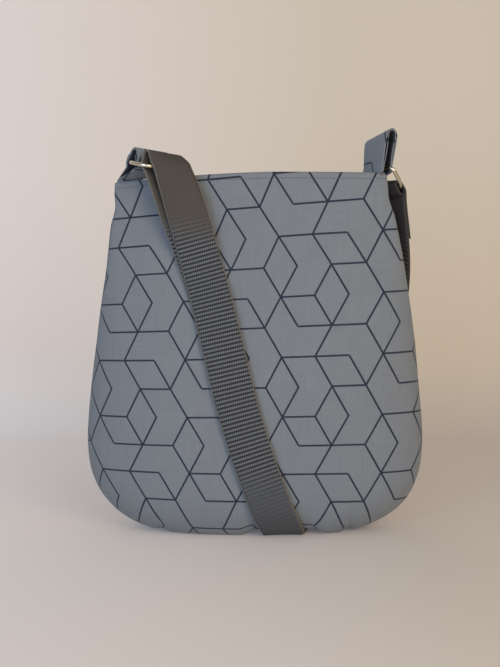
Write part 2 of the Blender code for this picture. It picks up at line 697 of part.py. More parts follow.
def strap_slider():
    """A flat frame with a middle bar that the sewn end turns round."""
    frame = slider_frame() @ Matrix.Translation((0, 0, slider_middle()))
    half_slot = RING_INNER_WIDTH / 2
    slot_end = SLIDER_BAR / 2 + SLIDER_SLOT
    outer = Vector((half_slot + SLIDER_SIDE, slot_end + SLIDER_BAR, SLIDER_THICK / 2))
    slider = add("strap_slider", box_mesh("strap_slider", -outer, outer), parts, nickel, frame)
    for start, end in ((-slot_end, -SLIDER_BAR / 2), (SLIDER_BAR / 2, slot_end)):
        slot = box_mesh("slot", (-half_slot, start, -SLIDER_THICK), (half_slot, end, SLIDER_THICK))
        boolean(slider, "DIFFERENCE", slot, frame)
    bevel(slider, EDGE * 2)


def centre_on_box():
    """Moves everything level, so that the origin is under the middle of the overall box."""
    bpy.context.view_layer.update()
    graph = bpy.context.evaluated_depsgraph_get()
    points = []
    for obj in parts.objects:
        shape = obj.evaluated_get(graph)
        points += [shape.matrix_world @ vert.co for vert in shape.to_mesh().vertices]
    middle = [(min(p[i] for p in points) + max(p[i] for p in points)) / 2 for i in range(2)]
    shift = Matrix.Translation((-middle[0], -middle[1], 0))
    for obj in (*parts.objects, *helpers.objects):
        obj.matrix_world = shift @ obj.matrix_world


for old in list(bpy.data.objects):
    bpy.data.objects.remove(old)
parts = collection("crossbody_bag")
helpers = collection("helpers")
canvas = material("canvas", 0x86898C, 0.9)
lining_cloth = material("lining", 0xB9B4A8, 0.9)
webbing = material("webbing", 0x5F584F, 0.85)
nickel = material("nickel", 0xC8C4BC, 0.25, 1.0)
tape_cloth = material("zip_tape", 0x3A4256, 0.9)
teeth_metal = material("zip_teeth", 0x9A958A, 0.35, 1.0)

for panel_side, panel_name in ((-1, "front"), (1, "back")):
    panel(f"outer_{panel_name}_panel", panel_side, 0, 0, CANVAS_THICK, canvas)
    panel(f"lining_{panel_name}", panel_side, LINING_INSET, LINING_SIDE_INSET, LINING_THICK, lining_cloth)
ring("ring_left", True)
ring("ring_right", False)
tab("tab_left", True)
tab("tab_right", False)
ribbon("strap_webbing", strap_stations(), STRAP_THICK, webbing)
strap_slider()
zip_parts()
zip_slider()
zip_pull()
centre_on_box()
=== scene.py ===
"""A small canvas crossbody bag with a printed line pattern, standing on a pale floor, its webbing strap wrapped
once round the body."""

import functools
import json
import math

import bmesh
import bpy
from mathutils import Matrix, Vector, noise


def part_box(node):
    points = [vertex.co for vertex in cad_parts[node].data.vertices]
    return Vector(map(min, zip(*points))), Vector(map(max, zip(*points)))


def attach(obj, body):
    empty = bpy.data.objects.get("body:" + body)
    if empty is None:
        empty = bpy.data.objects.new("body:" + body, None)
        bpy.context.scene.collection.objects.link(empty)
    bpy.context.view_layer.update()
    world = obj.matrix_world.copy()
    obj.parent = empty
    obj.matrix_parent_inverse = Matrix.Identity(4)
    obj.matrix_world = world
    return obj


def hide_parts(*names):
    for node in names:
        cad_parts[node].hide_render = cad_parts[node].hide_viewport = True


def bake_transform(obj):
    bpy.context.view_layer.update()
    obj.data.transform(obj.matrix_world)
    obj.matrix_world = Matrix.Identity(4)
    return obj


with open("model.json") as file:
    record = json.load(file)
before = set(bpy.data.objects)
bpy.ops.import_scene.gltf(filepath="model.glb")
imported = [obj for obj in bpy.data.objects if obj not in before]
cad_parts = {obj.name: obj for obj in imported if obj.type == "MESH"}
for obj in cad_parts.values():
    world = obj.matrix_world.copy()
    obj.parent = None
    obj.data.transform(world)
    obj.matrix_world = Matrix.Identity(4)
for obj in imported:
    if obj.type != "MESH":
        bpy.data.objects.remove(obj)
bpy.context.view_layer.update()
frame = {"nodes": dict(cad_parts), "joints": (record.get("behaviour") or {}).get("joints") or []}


# Camera. It stands before the bag, level with its middle and a little above it, at a distance that gives the
# photograph's mild perspective.
CAMERA_DISTANCE = 0.80
CAMERA_RISE = math.radians(2.5)
METRES_PER_PIXEL = 0.00076
PICTURE_HEIGHT = 667

aim_at = Vector((-0.0040, 0, 0.1486))
camera_place = aim_at + CAMERA_DISTANCE * Vector((0, -math.cos(CAMERA_RISE), math.sin(CAMERA_RISE)))
camera = bpy.data.objects.new("camera", bpy.data.cameras.new("camera"))
camera.data.sensor_width = 36
camera.data.lens = CAMERA_DISTANCE / METRES_PER_PIXEL / PICTURE_HEIGHT * camera.data.sensor_width
turn = (aim_at - camera_place).to_track_quat("-Z", "Y").to_matrix().to_4x4()
camera.matrix_world = Matrix.Translation(camera_place) @ turn
bpy.context.scene.collection.objects.link(camera)
bpy.context.scene.camera = camera
bpy.context.scene.view_settings.view_transform = "Standard"


# Floor and backdrop: one sheet of pale warm paper that runs back along the floor and curves up behind the bag.
# It is matt and nearly white, keeps the bag's soft shadow, and can be seen through from behind. It also carries a
# painted glow: paler and cooler to the left, darker to the right, and warm on the right of the wall.
def srgb(hex_code):
    """Linear RGBA of an sRGB colour such as 0x8A9088."""
    parts = [(hex_code >> shift & 255) / 255 for shift in (16, 8, 0)]
    return [c / 12.92 if c <= 0.04045 else ((c + 0.055) / 1.055) ** 2.4 for c in parts] + [1]


def node(tree, kind, inputs=(), into=None, **settings):
    """Adds a node with its settings; a kind in capitals is a Math operation, and Mix mixes colours unless told
    otherwise. Its inputs are set to values or hex colours, or linked to sockets or to other nodes' first active
    output, and its own output may be linked into a socket."""
    if kind.isupper():
        kind, settings["operation"] = "Math", kind
    if kind == "Mix":
        settings.setdefault("data_type", "RGBA")
    made = tree.nodes.new("ShaderNode" + kind)
    for key, value in settings.items():
        setattr(made, key, value)
    for key, value in dict(inputs if isinstance(inputs, dict) else enumerate(inputs)).items():
        if isinstance(value, bpy.types.Node):
            value = next(socket for socket in value.outputs if socket.enabled)
        if isinstance(value, bpy.types.NodeSocket):
            tree.links.new(value, made.inputs[key])
        else:
            made.inputs[key].default_value = srgb(value) if made.inputs[key].type == "RGBA" else value
    if into is not None:
        tree.links.new(next(socket for socket in made.outputs if socket.enabled), into)
    return made


def material(name, colour, roughness, **sockets):
    """A Principled material with its starting values, the function that adds nodes to its tree, and its shader."""
    made = bpy.data.materials.new(name)
    made.use_nodes = True
    shader = made.node_tree.nodes["Principled BSDF"]
    shader.inputs["Base Color"].default_value = srgb(colour)
    shader.inputs["Roughness"].default_value = roughness
    for key, value in sockets.items():
        shader.inputs[key.replace("_", " ")].default_value = value
    return made, functools.partial(node, made.node_tree), shader


def finished(name, bm, surface):
    """A new object from a bmesh, with smooth faces and its material."""
    data = bpy.data.meshes.new(name)
    bm.to_mesh(data)
    bm.free()
    data.materials.append(surface)
    data.polygons.foreach_set("use_smooth", [True] * len(data.polygons))
    obj = bpy.data.objects.new(name, data)
    bpy.context.scene.collection.objects.link(obj)
    return obj


def pushed(bm, edges, vec):
    """Extrudes edges and returns the new ones."""
    made = bmesh.ops.extrude_edge_only(bm, edges=edges)["geom"]
    bmesh.ops.translate(bm, verts=[part for part in made if isinstance(part, bmesh.types.BMVert)], vec=vec)
    return [part for part in made if isinstance(part, bmesh.types.BMEdge)]


FLOOR_HALF_WIDTH = 1.6
FLOOR_FRONT = -1.4
FLOOR_TURN = 0.46
FLOOR_CURVE = 0.20
FLOOR_TOP = 1.9
FLOOR_GLOW = 0.30
WALL_GLOW = 0.26
GLOW_LEFT = -0.35
GLOW_RIGHT = 0.12
GLOW_LOW = 0.002
GLOW_HIGH = 0.11

paper, add, shader = material("backdrop_paper", 0xE4D8CC, 0.95)
paper_place = add("SeparateXYZ", (add("TexCoord").outputs["Object"],))
aside = add("MapRange", (paper_place, GLOW_LEFT, GLOW_RIGHT, 0, 1))
climb = add("MapRange", (paper_place.outputs[2], GLOW_LOW, GLOW_HIGH, 0, 1), interpolation_type="SMOOTHSTEP")
# Painted light: the glow's colour is pale and cool on the left, dark grey on the floor's right and warm on the wall's
# right.
painted_floor_glow = add("Mix", {"Factor": aside, 6: 0xEAEDFF, 7: 0x6A686C})
painted_wall_glow = add("Mix", {"Factor": aside, 6: 0xEEE4EE, 7: 0x9C9474})
add("Mix", {"Factor": climb, 6: painted_floor_glow, 7: painted_wall_glow}, shader.inputs["Emission Color"])
rays = add("LightPath")
seen = add("MAXIMUM", (rays.outputs["Is Camera Ray"], rays.outputs["Is Glossy Ray"]))
seen = add("MAXIMUM", (seen, rays.outputs["Is Transmission Ray"]))
strength = add("MapRange", (climb, 0, 1, FLOOR_GLOW, WALL_GLOW))
add("MULTIPLY", (strength, seen), shader.inputs["Emission Strength"])
clear = add("BsdfTransparent")
behind = add("NewGeometry").outputs["Backfacing"]
add("MixShader", (behind, shader, clear), paper.node_tree.nodes["Material Output"].inputs["Surface"])
bm = bmesh.new()
edge = [bm.verts.new((-FLOOR_HALF_WIDTH, y, 0)) for y in (FLOOR_FRONT, FLOOR_TURN)]
bm.edges.new(edge)
bmesh.ops.spin(bm, geom=[edge[1]], cent=(0, FLOOR_TURN, FLOOR_CURVE), axis=(1, 0, 0), angle=math.pi / 2, steps=24)
bm.verts.ensure_lookup_table()
top = max(bm.verts, key=lambda vert: (vert.co.z, vert.co.y))
raised = bmesh.ops.extrude_vert_indiv(bm, verts=[top])["verts"]
bmesh.ops.translate(bm, verts=raised, vec=(0, 0, FLOOR_TOP - FLOOR_CURVE))
pushed(bm, bm.edges[:], (2 * FLOOR_HALF_WIDTH, 0, 0))
bmesh.ops.recalc_face_normals(bm, faces=bm.faces)
bmesh.ops.reverse_faces(bm, faces=bm.faces)
finished("backdrop", bm, paper)


# Light: a broad warm lamp from the right and above, a cooler one from the left, and an even pale surround, which
# together light the bag at a plain level.
def lamp(name, place, target, size, power, colour):
    """A round lamp at a place, turned to its target."""
    light = bpy.data.lights.new(name, "AREA")
    light.shape = "DISK"
    light.size = size
    light.energy = power
    light.color = srgb(colour)[:3]
    obj = bpy.data.objects.new(name, light)
    obj.location = place
    obj.rotation_euler = (Vector(target) - Vector(place)).to_track_quat("-Z", "Y").to_euler()
    bpy.context.scene.collection.objects.link(obj)


lamp("warm_lamp", (0.6, -1.3, 0.55), (0, 0, 0.15), 0.9, 9.5, 0xFFE8CC)
lamp("cool_lamp", (-0.6, -1.4, 0.22), (0, 0, 0.12), 1.0, 12.5, 0xBEDCFF)
surround = bpy.data.worlds.new("surround")
surround.use_nodes = True
surround.node_tree.nodes["Background"].inputs["Color"].default_value = srgb(0xEEEFEC)
surround.node_tree.nodes["Background"].inputs["Strength"].default_value = 0.36
bpy.context.scene.world = surround


# Canvas: mid-weight plain-woven cotton in grey-blue, screen-printed with thin navy lines of an isometric
# pattern. Matt, with a faint cross-hatch of slubs. The real threads are about 0.45 mm apart, too fine for the
# picture, and are drawn at 0.9 mm.
MM = 0.001
PRINT_HALF_STEP = 11.706 * MM
PRINT_ROW = 21.852 * MM
PRINT_LINE = 1.35 * MM
INK_OUTER = PRINT_LINE * 0.58
INK_INNER = PRINT_LINE * 0.42
INK = 0x151D34
PRINT_COLUMNS = 6
PRINT_ROWS = 4
PRINT_DROP = 2
COLUMN_ROOM = 0.08
ROW_ROOM = 0.25
PRINT_WANDER = 0.04
PRINT_LEVEL = {(0, 0), (2, 0), (3, 1), (0, 2), (1, 3), (3, 3)}
PRINT_FALLING = {(0, 0), (2, 0), (4, 0), (3, 1), (5, 1), (0, 2), (2, 2), (5, 3)}
PRINT_RISING = {(0, 0), (1, 1), (3, 1), (0, 2), (4, 2), (3, 3)}
PRINT_START = (-1.615, 7.359)
THREAD = 0.9 * MM
CLOTH_LOW = 0x757A80
CLOTH_HIGH = 0x80868C


def print_lines(add, across, down):
    """Mask of the printed lines from cloth coordinates in half steps across and rows down. The lines join the
    points of a triangular lattice, and a table of the repeat says which of them are printed. A little room is added
    before whole numbers are rounded down."""
    masks = []
    cells = PRINT_COLUMNS * PRINT_ROWS
    slant = 1 / math.hypot(1 / PRINT_HALF_STEP, 1 / PRINT_ROW)
    for lines, lean in ((PRINT_LEVEL, 0), (PRINT_FALLING, -1), (PRINT_RISING, 1)):
        if lean:
            run = add("MULTIPLY_ADD", (down, lean, across))
            half = add("MULTIPLY", (run, 0.5))
            near = add("ROUND", (half,))
            line = add("MULTIPLY", (near, 2))
            row = add("FLOOR", (down,))
            start = add("MULTIPLY_ADD", (row, -lean, line))
            away = add("SUBTRACT", (run, line))
            scale = slant
        else:
            row = add("ROUND", (down,))
            odd = add("FLOORED_MODULO", (row, 2))
            from_odd = add("SUBTRACT", (across, odd))
            half = add("MULTIPLY", (from_odd, 0.5))
            near = add("FLOOR", (half,))
            start = add("MULTIPLY_ADD", (near, 2, odd))
            away = add("SUBTRACT", (down, row))
            scale = PRINT_ROW
        distance = add("ABSOLUTE", (away,))
        distance = add("MULTIPLY", (distance, scale))
        repeats = add("MULTIPLY_ADD", (start, 1 / PRINT_COLUMNS, COLUMN_ROOM))
        repeat = add("FLOOR", (repeats,))
        column = add("MULTIPLY_ADD", (repeat, -PRINT_COLUMNS, start))
        turned = add("MULTIPLY_ADD", (repeat, -PRINT_DROP, row))
        shifted = add("ADD", (turned, ROW_ROOM))
        line_row = add("FLOORED_MODULO", (shifted, PRINT_ROWS))
        whole_row = add("FLOOR", (line_row,))
        place = add("MULTIPLY_ADD", (whole_row, PRINT_COLUMNS, column))
        share = add("MULTIPLY_ADD", (place, 1 / cells, 0.5 / cells))
        table = add("ValToRGB", (share,))
        stops = table.color_ramp
        stops.interpolation = "CONSTANT"
        stops.elements.remove(stops.elements[1])
        printed = (0, 0) in lines
        stops.elements[0].color = (float(printed),) * 3 + (1,)
        for k in range(1, cells):
            if ((k % PRINT_COLUMNS, k // PRINT_COLUMNS) in lines) != printed:
                printed = not printed
                stops.elements.new(k / cells).color = (float(printed),) * 3 + (1,)
        soft = add("MapRange", (distance, INK_OUTER, INK_INNER, 0, 1), interpolation_type="SMOOTHSTEP")
        masks.append(add("MULTIPLY", (soft, table)))
    two = add("MAXIMUM", masks[:2])
    return add("MAXIMUM", (two, masks[2]))


def canvas_material(name, across_start, down_start):
    """The printed canvas on the map 'cloth', which holds metres along and across the flat cloth. The print starts
    so many half steps across and rows down from the map's corner."""
    made, add, shader = material(name, CLOTH_HIGH, 0.88, Sheen_Weight=0.15)
    cloth = add("UVMap", uv_map="cloth")
    place = add("SeparateXYZ", (cloth,))
    wander = add("TexNoise", {"Vector": cloth, "Scale": 9.0, "Detail": 1.0})
    bend = add("MapRange", (wander, 0, 1, -PRINT_WANDER, PRINT_WANDER))
    across = add("MULTIPLY_ADD", (place, 1 / PRINT_HALF_STEP, across_start))
    across = add("ADD", (across, bend))
    down = add("MULTIPLY_ADD", (place.outputs[1], -1 / PRINT_ROW, down_start))
    lines = print_lines(add, across, down)

    threads = []
    for source, stretch in ((0, (260, 18, 1)), (1, (18, 300, 1))):
        turns = add("MULTIPLY", (place.outputs[source], 2 * math.pi / THREAD))
        threads.append(add("SINE", (turns,)))
        slub_place = add("Mapping", {"Vector": cloth, "Scale": stretch})
        threads.append(add("TexNoise", {"Vector": slub_place, "Scale": 2.2, "Detail": 3.0}))
    weave = add("MULTIPLY", (threads[0], threads[2]))
    slubs = add("ADD", (threads[1], threads[3]))
    height = add("MULTIPLY_ADD", (slubs, 1.4, weave))
    add("Bump", {"Strength": 0.22, "Distance": 0.1 * MM, "Height": height}, shader.inputs["Normal"])

    mottle = add("TexNoise", {"Vector": cloth, "Scale": 55.0, "Detail": 4.0})
    tone = add("MULTIPLY_ADD", (mottle, 0.6, slubs))
    shade = add("MapRange", (tone, 0.7, 1.9, 0, 1))
    cotton = add("Mix", {"Factor": shade, 6: CLOTH_LOW, 7: CLOTH_HIGH})
    worn = add("MapRange", (slubs, 0.7, 1.3, 0.92, 1.0))
    ink = add("MULTIPLY", (lines, worn))
    add("Mix", {"Factor": ink, 6: cotton, 7: INK}, shader.inputs["Base Color"])
    return made


# Bag body: front and back panels of the canvas, cut alike, with a dart at each lower corner, joined by one
# seam down both sides and across the base. Soft and slightly puffed; narrow at the mouth, deep at the belly.
BAG_HEIGHT = 266 * MM
MOUTH_HALF_WIDTH = 102.8 * MM
BELLY_HALF_WIDTH = 126.8 * MM
BELLY_HEIGHT = 74 * MM
BASE_HALF_WIDTH = 61 * MM
MOUTH_HALF_DEPTH = 10 * MM
BELLY_HALF_DEPTH = 39 * MM
BASE_HALF_DEPTH = 21 * MM
FULL_DEPTH_HEIGHT = 110 * MM
BASE_ROUND_HEIGHT = 40 * MM
TAPER_POWER = 1.3
CORNER_POWER = 2.6
SIDE_POWER = 2.5
CANVAS_THICK = 1.0 * MM
PANEL_COLUMNS = 190
PANEL_ROWS = 220
SIDES = ((-1, "front"), (1, "back"))
seam_y = (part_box("outer_front_panel")[1].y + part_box("outer_back_panel")[0].y) / 2

STRAP_WIDTH = 30 * MM
STRAP_THICK = 1.4 * MM
STRAP_GAP = 0.55 * MM
LAYER_STEP = STRAP_THICK + STRAP_GAP
INNER_OFFSET = STRAP_GAP + STRAP_THICK / 2
OUTER_OFFSET = INNER_OFFSET + LAYER_STEP
BASE_CLEAR = 0.3 * MM
BASE_LIFT = BASE_CLEAR + 2 * STRAP_THICK + 2 * STRAP_GAP
LIFT_EASE = 4 * MM
LIFT_SPAN = 13 * MM
LIFT_HEIGHT = 30 * MM
FRONT_BASE_X = 21 * MM
BACK_BASE_X = 30 * MM


def smoothstep(t):
    t = min(max(t, 0.0), 1.0)
    return t * t * (3 - 2 * t)


def half_width(z):
    if z >= BELLY_HEIGHT:
        rise = (z - BELLY_HEIGHT) / (BAG_HEIGHT - BELLY_HEIGHT)
        return BELLY_HALF_WIDTH - (BELLY_HALF_WIDTH - MOUTH_HALF_WIDTH) * rise**TAPER_POWER
    drop = 1 - max(z, 0) / BELLY_HEIGHT
    return BASE_HALF_WIDTH + (BELLY_HALF_WIDTH - BASE_HALF_WIDTH) * math.sqrt(1 - drop**CORNER_POWER)


def half_depth(z):
    if z >= FULL_DEPTH_HEIGHT:
        rise = (z - FULL_DEPTH_HEIGHT) / (BAG_HEIGHT - FULL_DEPTH_HEIGHT)
        return BELLY_HALF_DEPTH - (BELLY_HALF_DEPTH - MOUTH_HALF_DEPTH) * smoothstep(rise)
    drop = max(0, 1 - max(z, 0) / BASE_ROUND_HEIGHT)
    return BASE_HALF_DEPTH + (BELLY_HALF_DEPTH - BASE_HALF_DEPTH) * math.sqrt(1 - drop**2)


def lift(x, y, z):
    """How far the doubled webbing under the base pushes the canvas up."""
    middle = (FRONT_BASE_X + BACK_BASE_X) / 2
    lean = (BACK_BASE_X - FRONT_BASE_X) / (2 * BASE_HALF_DEPTH)
    half_band = STRAP_WIDTH / 2 * math.hypot(1, lean) + LIFT_EASE
    outside = (abs(x - middle - lean * y) - half_band) / LIFT_SPAN
    return BASE_LIFT * (1 - smoothstep(outside)) * (1 - smoothstep(z / LIFT_HEIGHT))


def face_point(x, z, side):
    """A point on the smooth bag's outer face, on the front (side -1) or the back (side 1)."""
    share = min(abs(x) / half_width(z), 1.0)
    y = side * half_depth(z) * math.sqrt(1 - share**SIDE_POWER)
    return Vector((x, y + seam_y, z + lift(x, y, z)))


def on_bag(x, z, side, offset):
    """(point, normal) at a distance off the smooth bag's outer face."""
    tiny = 0.1 * MM
    across = face_point(x + tiny, z, side) - face_point(x - tiny, z, side)
    up = face_point(x, z + tiny, side) - face_point(x, max(z - tiny, 0), side)
    normal = across.cross(up).normalized() * -side
    return face_point(x, z, side) + normal * offset, normal


# The body's own section goes on with the webbing's line, because the canvas lies flat beneath it.
RING_WIRE = 3.0 * MM
RING_INNER_WIDTH = STRAP_WIDTH + 1.4 * MM
RING_DEPTH = 19 * MM
RING_CORNER = 8 * MM
RING_BAR_CORNER = 3.5 * MM
RING_EDGE_CLEAR = 0.3 * MM
FRONT_SWAY = 3.5 * MM
MERGE_HEIGHT = 120 * MM
FRONT_TOUCH = BAG_HEIGHT - 78 * MM
BACK_TOUCH = BAG_HEIGHT - 104 * MM
BACK_TOUCH_X = 99 * MM


def ring_frame(left):
    """Placement of a D-ring: origin in the middle of its bar, X along the bar, Y out to the curved side."""
    joint = "ring_left_swing" if left else "ring_right_swing"
    found = next(j for j in frame["joints"] if j["name"] == joint)
    out = Vector((0.62, -0.76, -0.20)) if left else Vector((0.55, 0.27, -0.79))
    x = Vector(found["axis"]).normalized()
    z = x.cross(out).normalized()
    turned = Matrix((x, z.cross(x), z)).transposed().to_4x4()
    return Matrix.Translation(Vector(found["pos_m"])) @ turned


def strap_pass(inner):
    """Distance from a ring's bar at which the webbing passes its plane, inside the ring or past its wire."""
    if not inner:
        return RING_DEPTH + RING_WIRE / 2 + STRAP_GAP + STRAP_THICK / 2
    reach = RING_CORNER - RING_WIRE / 2
    beyond = STRAP_WIDTH / 2 + RING_EDGE_CLEAR - ((RING_INNER_WIDTH + RING_WIRE) / 2 - RING_CORNER)
    return RING_DEPTH - RING_CORNER + math.sqrt(reach**2 - beyond**2) - STRAP_THICK / 2


def front_line(z, inner):
    """X of the webbing's centre on the front at a height, for the outer or the inner of its two layers."""
    top = ring_frame(True) @ Vector((0, strap_pass(False), 0))
    run = z / top.z
    outer = FRONT_BASE_X + (top.x - FRONT_BASE_X) * run - FRONT_SWAY * math.sin(2 * math.pi * run)
    if not inner:
        return outer
    shift = (ring_frame(True) @ Vector((0, strap_pass(True), 0))).x - top.x
    return outer + shift * max(0, (z - MERGE_HEIGHT) / (top.z - MERGE_HEIGHT)) ** 2


def back_line(z):
    """X of the webbing's centre on the back at a height."""
    return BACK_BASE_X + (BACK_TOUCH_X - BACK_BASE_X) * z / BACK_TOUCH


# Each bump and groove of the cloth is (height, half-width), and each set of waves (waves a metre across, waves a
# metre up, start, height).
PINCH = (1.9 * MM, 9 * MM)
PINCH_HEIGHT = 247 * MM
WAVES = (14, 9, 4, 1.5 * MM)
RIPPLES = (34, 24, 9, 0.45 * MM)
BASE_CALM = 25 * MM
MOUTH_CALM = 225 * MM
MOUTH_CALM_SPAN = 40 * MM
MOUTH_CALM_SHARE = 0.7
STRAP_CALM = 19 * MM
STRAP_CALM_SPAN = 14 * MM
LINE_STEP = 2 * MM
LINE_STEPS = 140
DART_X = 70 * MM
DART_HEIGHT = 36 * MM
DART_LEAN = 3 * MM
DART_FADE = 12 * MM
DART_PUFF = (0.5 * MM, 12 * MM)
DART_FOLD = (0.9 * MM, 2.6 * MM)
DART_LIFT = (0.9 * MM, 1.8 * MM)
DART_LIFT_HALF_WIDTH = 5 * MM
DART_LIFT_HEIGHT = 16 * MM
STITCH_DROP = 4.5 * MM
STITCH_GROOVE = (0.35 * MM, 1.1 * MM)
HEM_PUFF = (0.15 * MM, 1.6 * MM)
SEAM_CREASE = (0.8 * MM, 1.6 * MM)
SEAM_APART = 0.1 * MM
SEAM_TUCK_DEPTH = 2 * MM
SEAM_TUCK_HEIGHT = 6 * MM
BASE_SEAM_SHARE = 0.9
BASE_SHARE = 0.09
HEIGHT_POWER = 1.8
lines_at = {
    (side, step): front_line(step * LINE_STEP, False) if side < 0 else back_line(step * LINE_STEP)
    for side, _ in SIDES
    for step in range(LINE_STEPS)
}


def bell(distance, height, spread):
    """Height of a smooth bump at a distance from its middle."""
    return height * math.exp(-((distance / spread) ** 2))


def ripple(x, z, side):
    """How far the canvas stands off its smooth form: slow waves, the darts and the topstitched groove."""
    wave = 0
    for across, up, start, height in (WAVES, RIPPLES):
        wave += noise.noise(Vector((x * across, z * up, side * start))) * height
    wave *= smoothstep(z / BASE_CALM) * (1 - MOUTH_CALM_SHARE * smoothstep((z - MOUTH_CALM) / MOUTH_CALM_SPAN))
    line = lines_at[side, min(int(z / LINE_STEP), LINE_STEPS - 1)]
    off_strap = smoothstep((abs(x - line) - STRAP_CALM) / STRAP_CALM_SPAN)
    wave = wave * off_strap + min(wave, 0) * (1 - off_strap)
    dart = abs(x) - DART_X - (z / DART_HEIGHT) * DART_LEAN
    low = 1 - smoothstep((z - DART_FADE) / (DART_HEIGHT - DART_FADE))
    wave += low * (bell(dart, *DART_PUFF) - bell(dart, *DART_FOLD))
    wave -= bell(z - (BAG_HEIGHT - STITCH_DROP), *STITCH_GROOVE)
    wave += bell(z - (BAG_HEIGHT - STITCH_DROP / 2), *HEM_PUFF)
    return wave


def panel_point(across, up, side, inset):
    """A point of a panel: across from -1 to 1 between its side edges, up from 0 at the bottom seam to 1. Only the
    outer panels, whose inset is nothing, have ripples and darts and are tucked up along the base seam."""
    turn = math.pi * (1 - across) / 2
    share = math.copysign(abs(math.cos(turn)) ** (2 / SIDE_POWER), math.cos(turn))
    if up < BASE_SHARE:
        z = 0
        wide = (BASE_HALF_WIDTH - inset) * (BASE_SEAM_SHARE + (1 - BASE_SEAM_SHARE) * up / BASE_SHARE)
        deep = (BASE_HALF_DEPTH - inset) * up / BASE_SHARE
    else:
        z = BAG_HEIGHT * ((up - BASE_SHARE) / (1 - BASE_SHARE)) ** HEIGHT_POWER
        wide = half_width(z) - inset - bell(z - PINCH_HEIGHT, *PINCH)
        deep = half_depth(z) - inset
    x = wide * share
    y = side * max(SEAM_APART, deep * math.sin(turn))
    if not inset:
        x -= math.copysign(bell(y, *SEAM_CREASE), share)
    point = Vector((x, y + seam_y, z + lift(x, y, z) + inset * (1 - z / BAG_HEIGHT)))
    if inset:
        return point
    _, normal = on_bag(x, z, side, 0)
    raised = bell(abs(x) - DART_X, DART_LIFT[x > 0], DART_LIFT_HALF_WIDTH) * (1 - smoothstep(z / DART_LIFT_HEIGHT))
    point += normal * ripple(x, z, side) + Vector((0, 0, raised))
    tucked = CANVAS_THICK * (1 - smoothstep(abs(y) / SEAM_TUCK_DEPTH)) * (1 - smoothstep(z / SEAM_TUCK_HEIGHT))
    point.z = max(point.z, 0) + tucked
    return point


MOUTH_LEAN = 3.6 * MM
LEAN_START = 200 * MM
LEAN_POWER = 1.2
MOUTH_RISE = 3.5 * MM
LEFT_DROP = 7.6 * MM
LEFT_DROP_START = 20 * MM
LEFT_DROP_SPAN = 124 * MM
LEFT_DROP_POWER = 1.5
SETTLE_START = 150 * MM


def settling(point):
    """How the cloth has settled near the mouth: it leans to the left, and its left end hangs lower."""
    lean = MOUTH_LEAN * (max(0.0, point.z - LEAN_START) / (BAG_HEIGHT - LEAN_START)) ** LEAN_POWER
    rise = MOUTH_RISE - LEFT_DROP * (max(0.0, LEFT_DROP_START - point.x) / LEFT_DROP_SPAN) ** LEFT_DROP_POWER
    return Vector((-lean, 0, rise * smoothstep((point.z - SETTLE_START) / (BAG_HEIGHT - SETTLE_START))))


# How the print lies on the sewn panel, in millimetres of cloth.
PRINT_DOWN = 3.7
PRINT_LEAN = 0.0181
PRINT_NARROWING = 0.000388
PRINT_LEVEL_HEIGHT = 150
PRINT_EASE = 0.000356
PRINT_EDGE_EASE = 0.000002656
PRINT_SKEW = 0.000407
PRINT_SKEW_HEIGHT = 91.9
PRINT_ARCH = 0.000371
PRINT_ARCH_HEIGHT = 170


def printed_at(along, height):
    """Where the print lies on the cloth, with the skew and the easing of the sewn panel, in metres."""
    u, v = along / MM, height / MM + PRINT_DOWN
    above = v - PRINT_LEVEL_HEIGHT
    across = u * (1 - PRINT_NARROWING * above) + PRINT_LEAN * above - PRINT_EASE * u**2 - PRINT_EDGE_EASE * u**3
    up = v - PRINT_SKEW * (v - PRINT_SKEW_HEIGHT) * u - PRINT_ARCH * (v - PRINT_ARCH_HEIGHT) ** 2
    return across * MM, up * MM


def lay_out(bm, rows):
    """Writes the map 'cloth' from metres along each row from its middle, and metres up the middle column."""
    layer = bm.loops.layers.uv.new("cloth")
    flat = {}
    middle = len(rows[0]) // 2
    height = 0
    for low, row in zip([rows[0]] + rows, rows):
        height += (row[middle].co - low[middle].co).length
        for way in (1, -1):
            along = 0
            i = middle
            while 0 <= i < len(row):
                flat[row[i]] = printed_at(along * way, height + settling(row[i].co).z)
                if 0 <= i + way < len(row):
                    along += (row[i + way].co - row[i].co).length
                i += way
    for face in bm.faces:
        for loop in face.loops:
            loop[layer].uv = flat[loop.vert]


def panel(name, side, inset, columns, rows, thickness, surface):
    """A front or back panel of the body, or of the lining at its inset, with its settled shape and its wall."""
    bm = bmesh.new()
    bmesh.ops.create_grid(bm, x_segments=columns, y_segments=rows, size=1)
    grid = {}
    for vert in bm.verts:
        across, up = vert.co.x, (vert.co.y + 1) / 2
        grid.setdefault(round(up * rows), []).append((across, vert))
        vert.co = panel_point(across, up, side, inset)
    ordered = [[vert for _, vert in sorted(grid[k], key=lambda pair: pair[0])] for k in sorted(grid)]
    lay_out(bm, ordered)
    for vert in bm.verts:
        vert.co += settling(vert.co)
    if side > 0:
        bmesh.ops.reverse_faces(bm, faces=bm.faces)
    obj = finished(name, bm, surface)
    wall = obj.modifiers.new("cloth", "SOLIDIFY")
    wall.thickness = thickness
    wall.offset = -1
    return obj


canvas = canvas_material("printed_cotton_canvas", *PRINT_START)
for panel_side, panel_name in SIDES:
    piece = panel(f"canvas_{panel_name}", panel_side, 0, PANEL_COLUMNS, PANEL_ROWS, CANVAS_THICK, canvas)
    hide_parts(f"outer_{panel_name}_panel")
    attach(piece, "bag")


# Topstitching: one row of grey-blue polyester thread round the mouth, a little below its edge. Slightly glossy,
# twisted, darker than the cloth; each stitch pulls into it.
STITCH = 3 * MM
STITCH_HALF_LENGTH = 1.15 * MM
THREAD_RADIUS = 0.32 * MM
THREAD_PROUD = 0.4
MOUTH_ROW_SHARE = 0.985
MOUTH_ROW_STEPS = 240


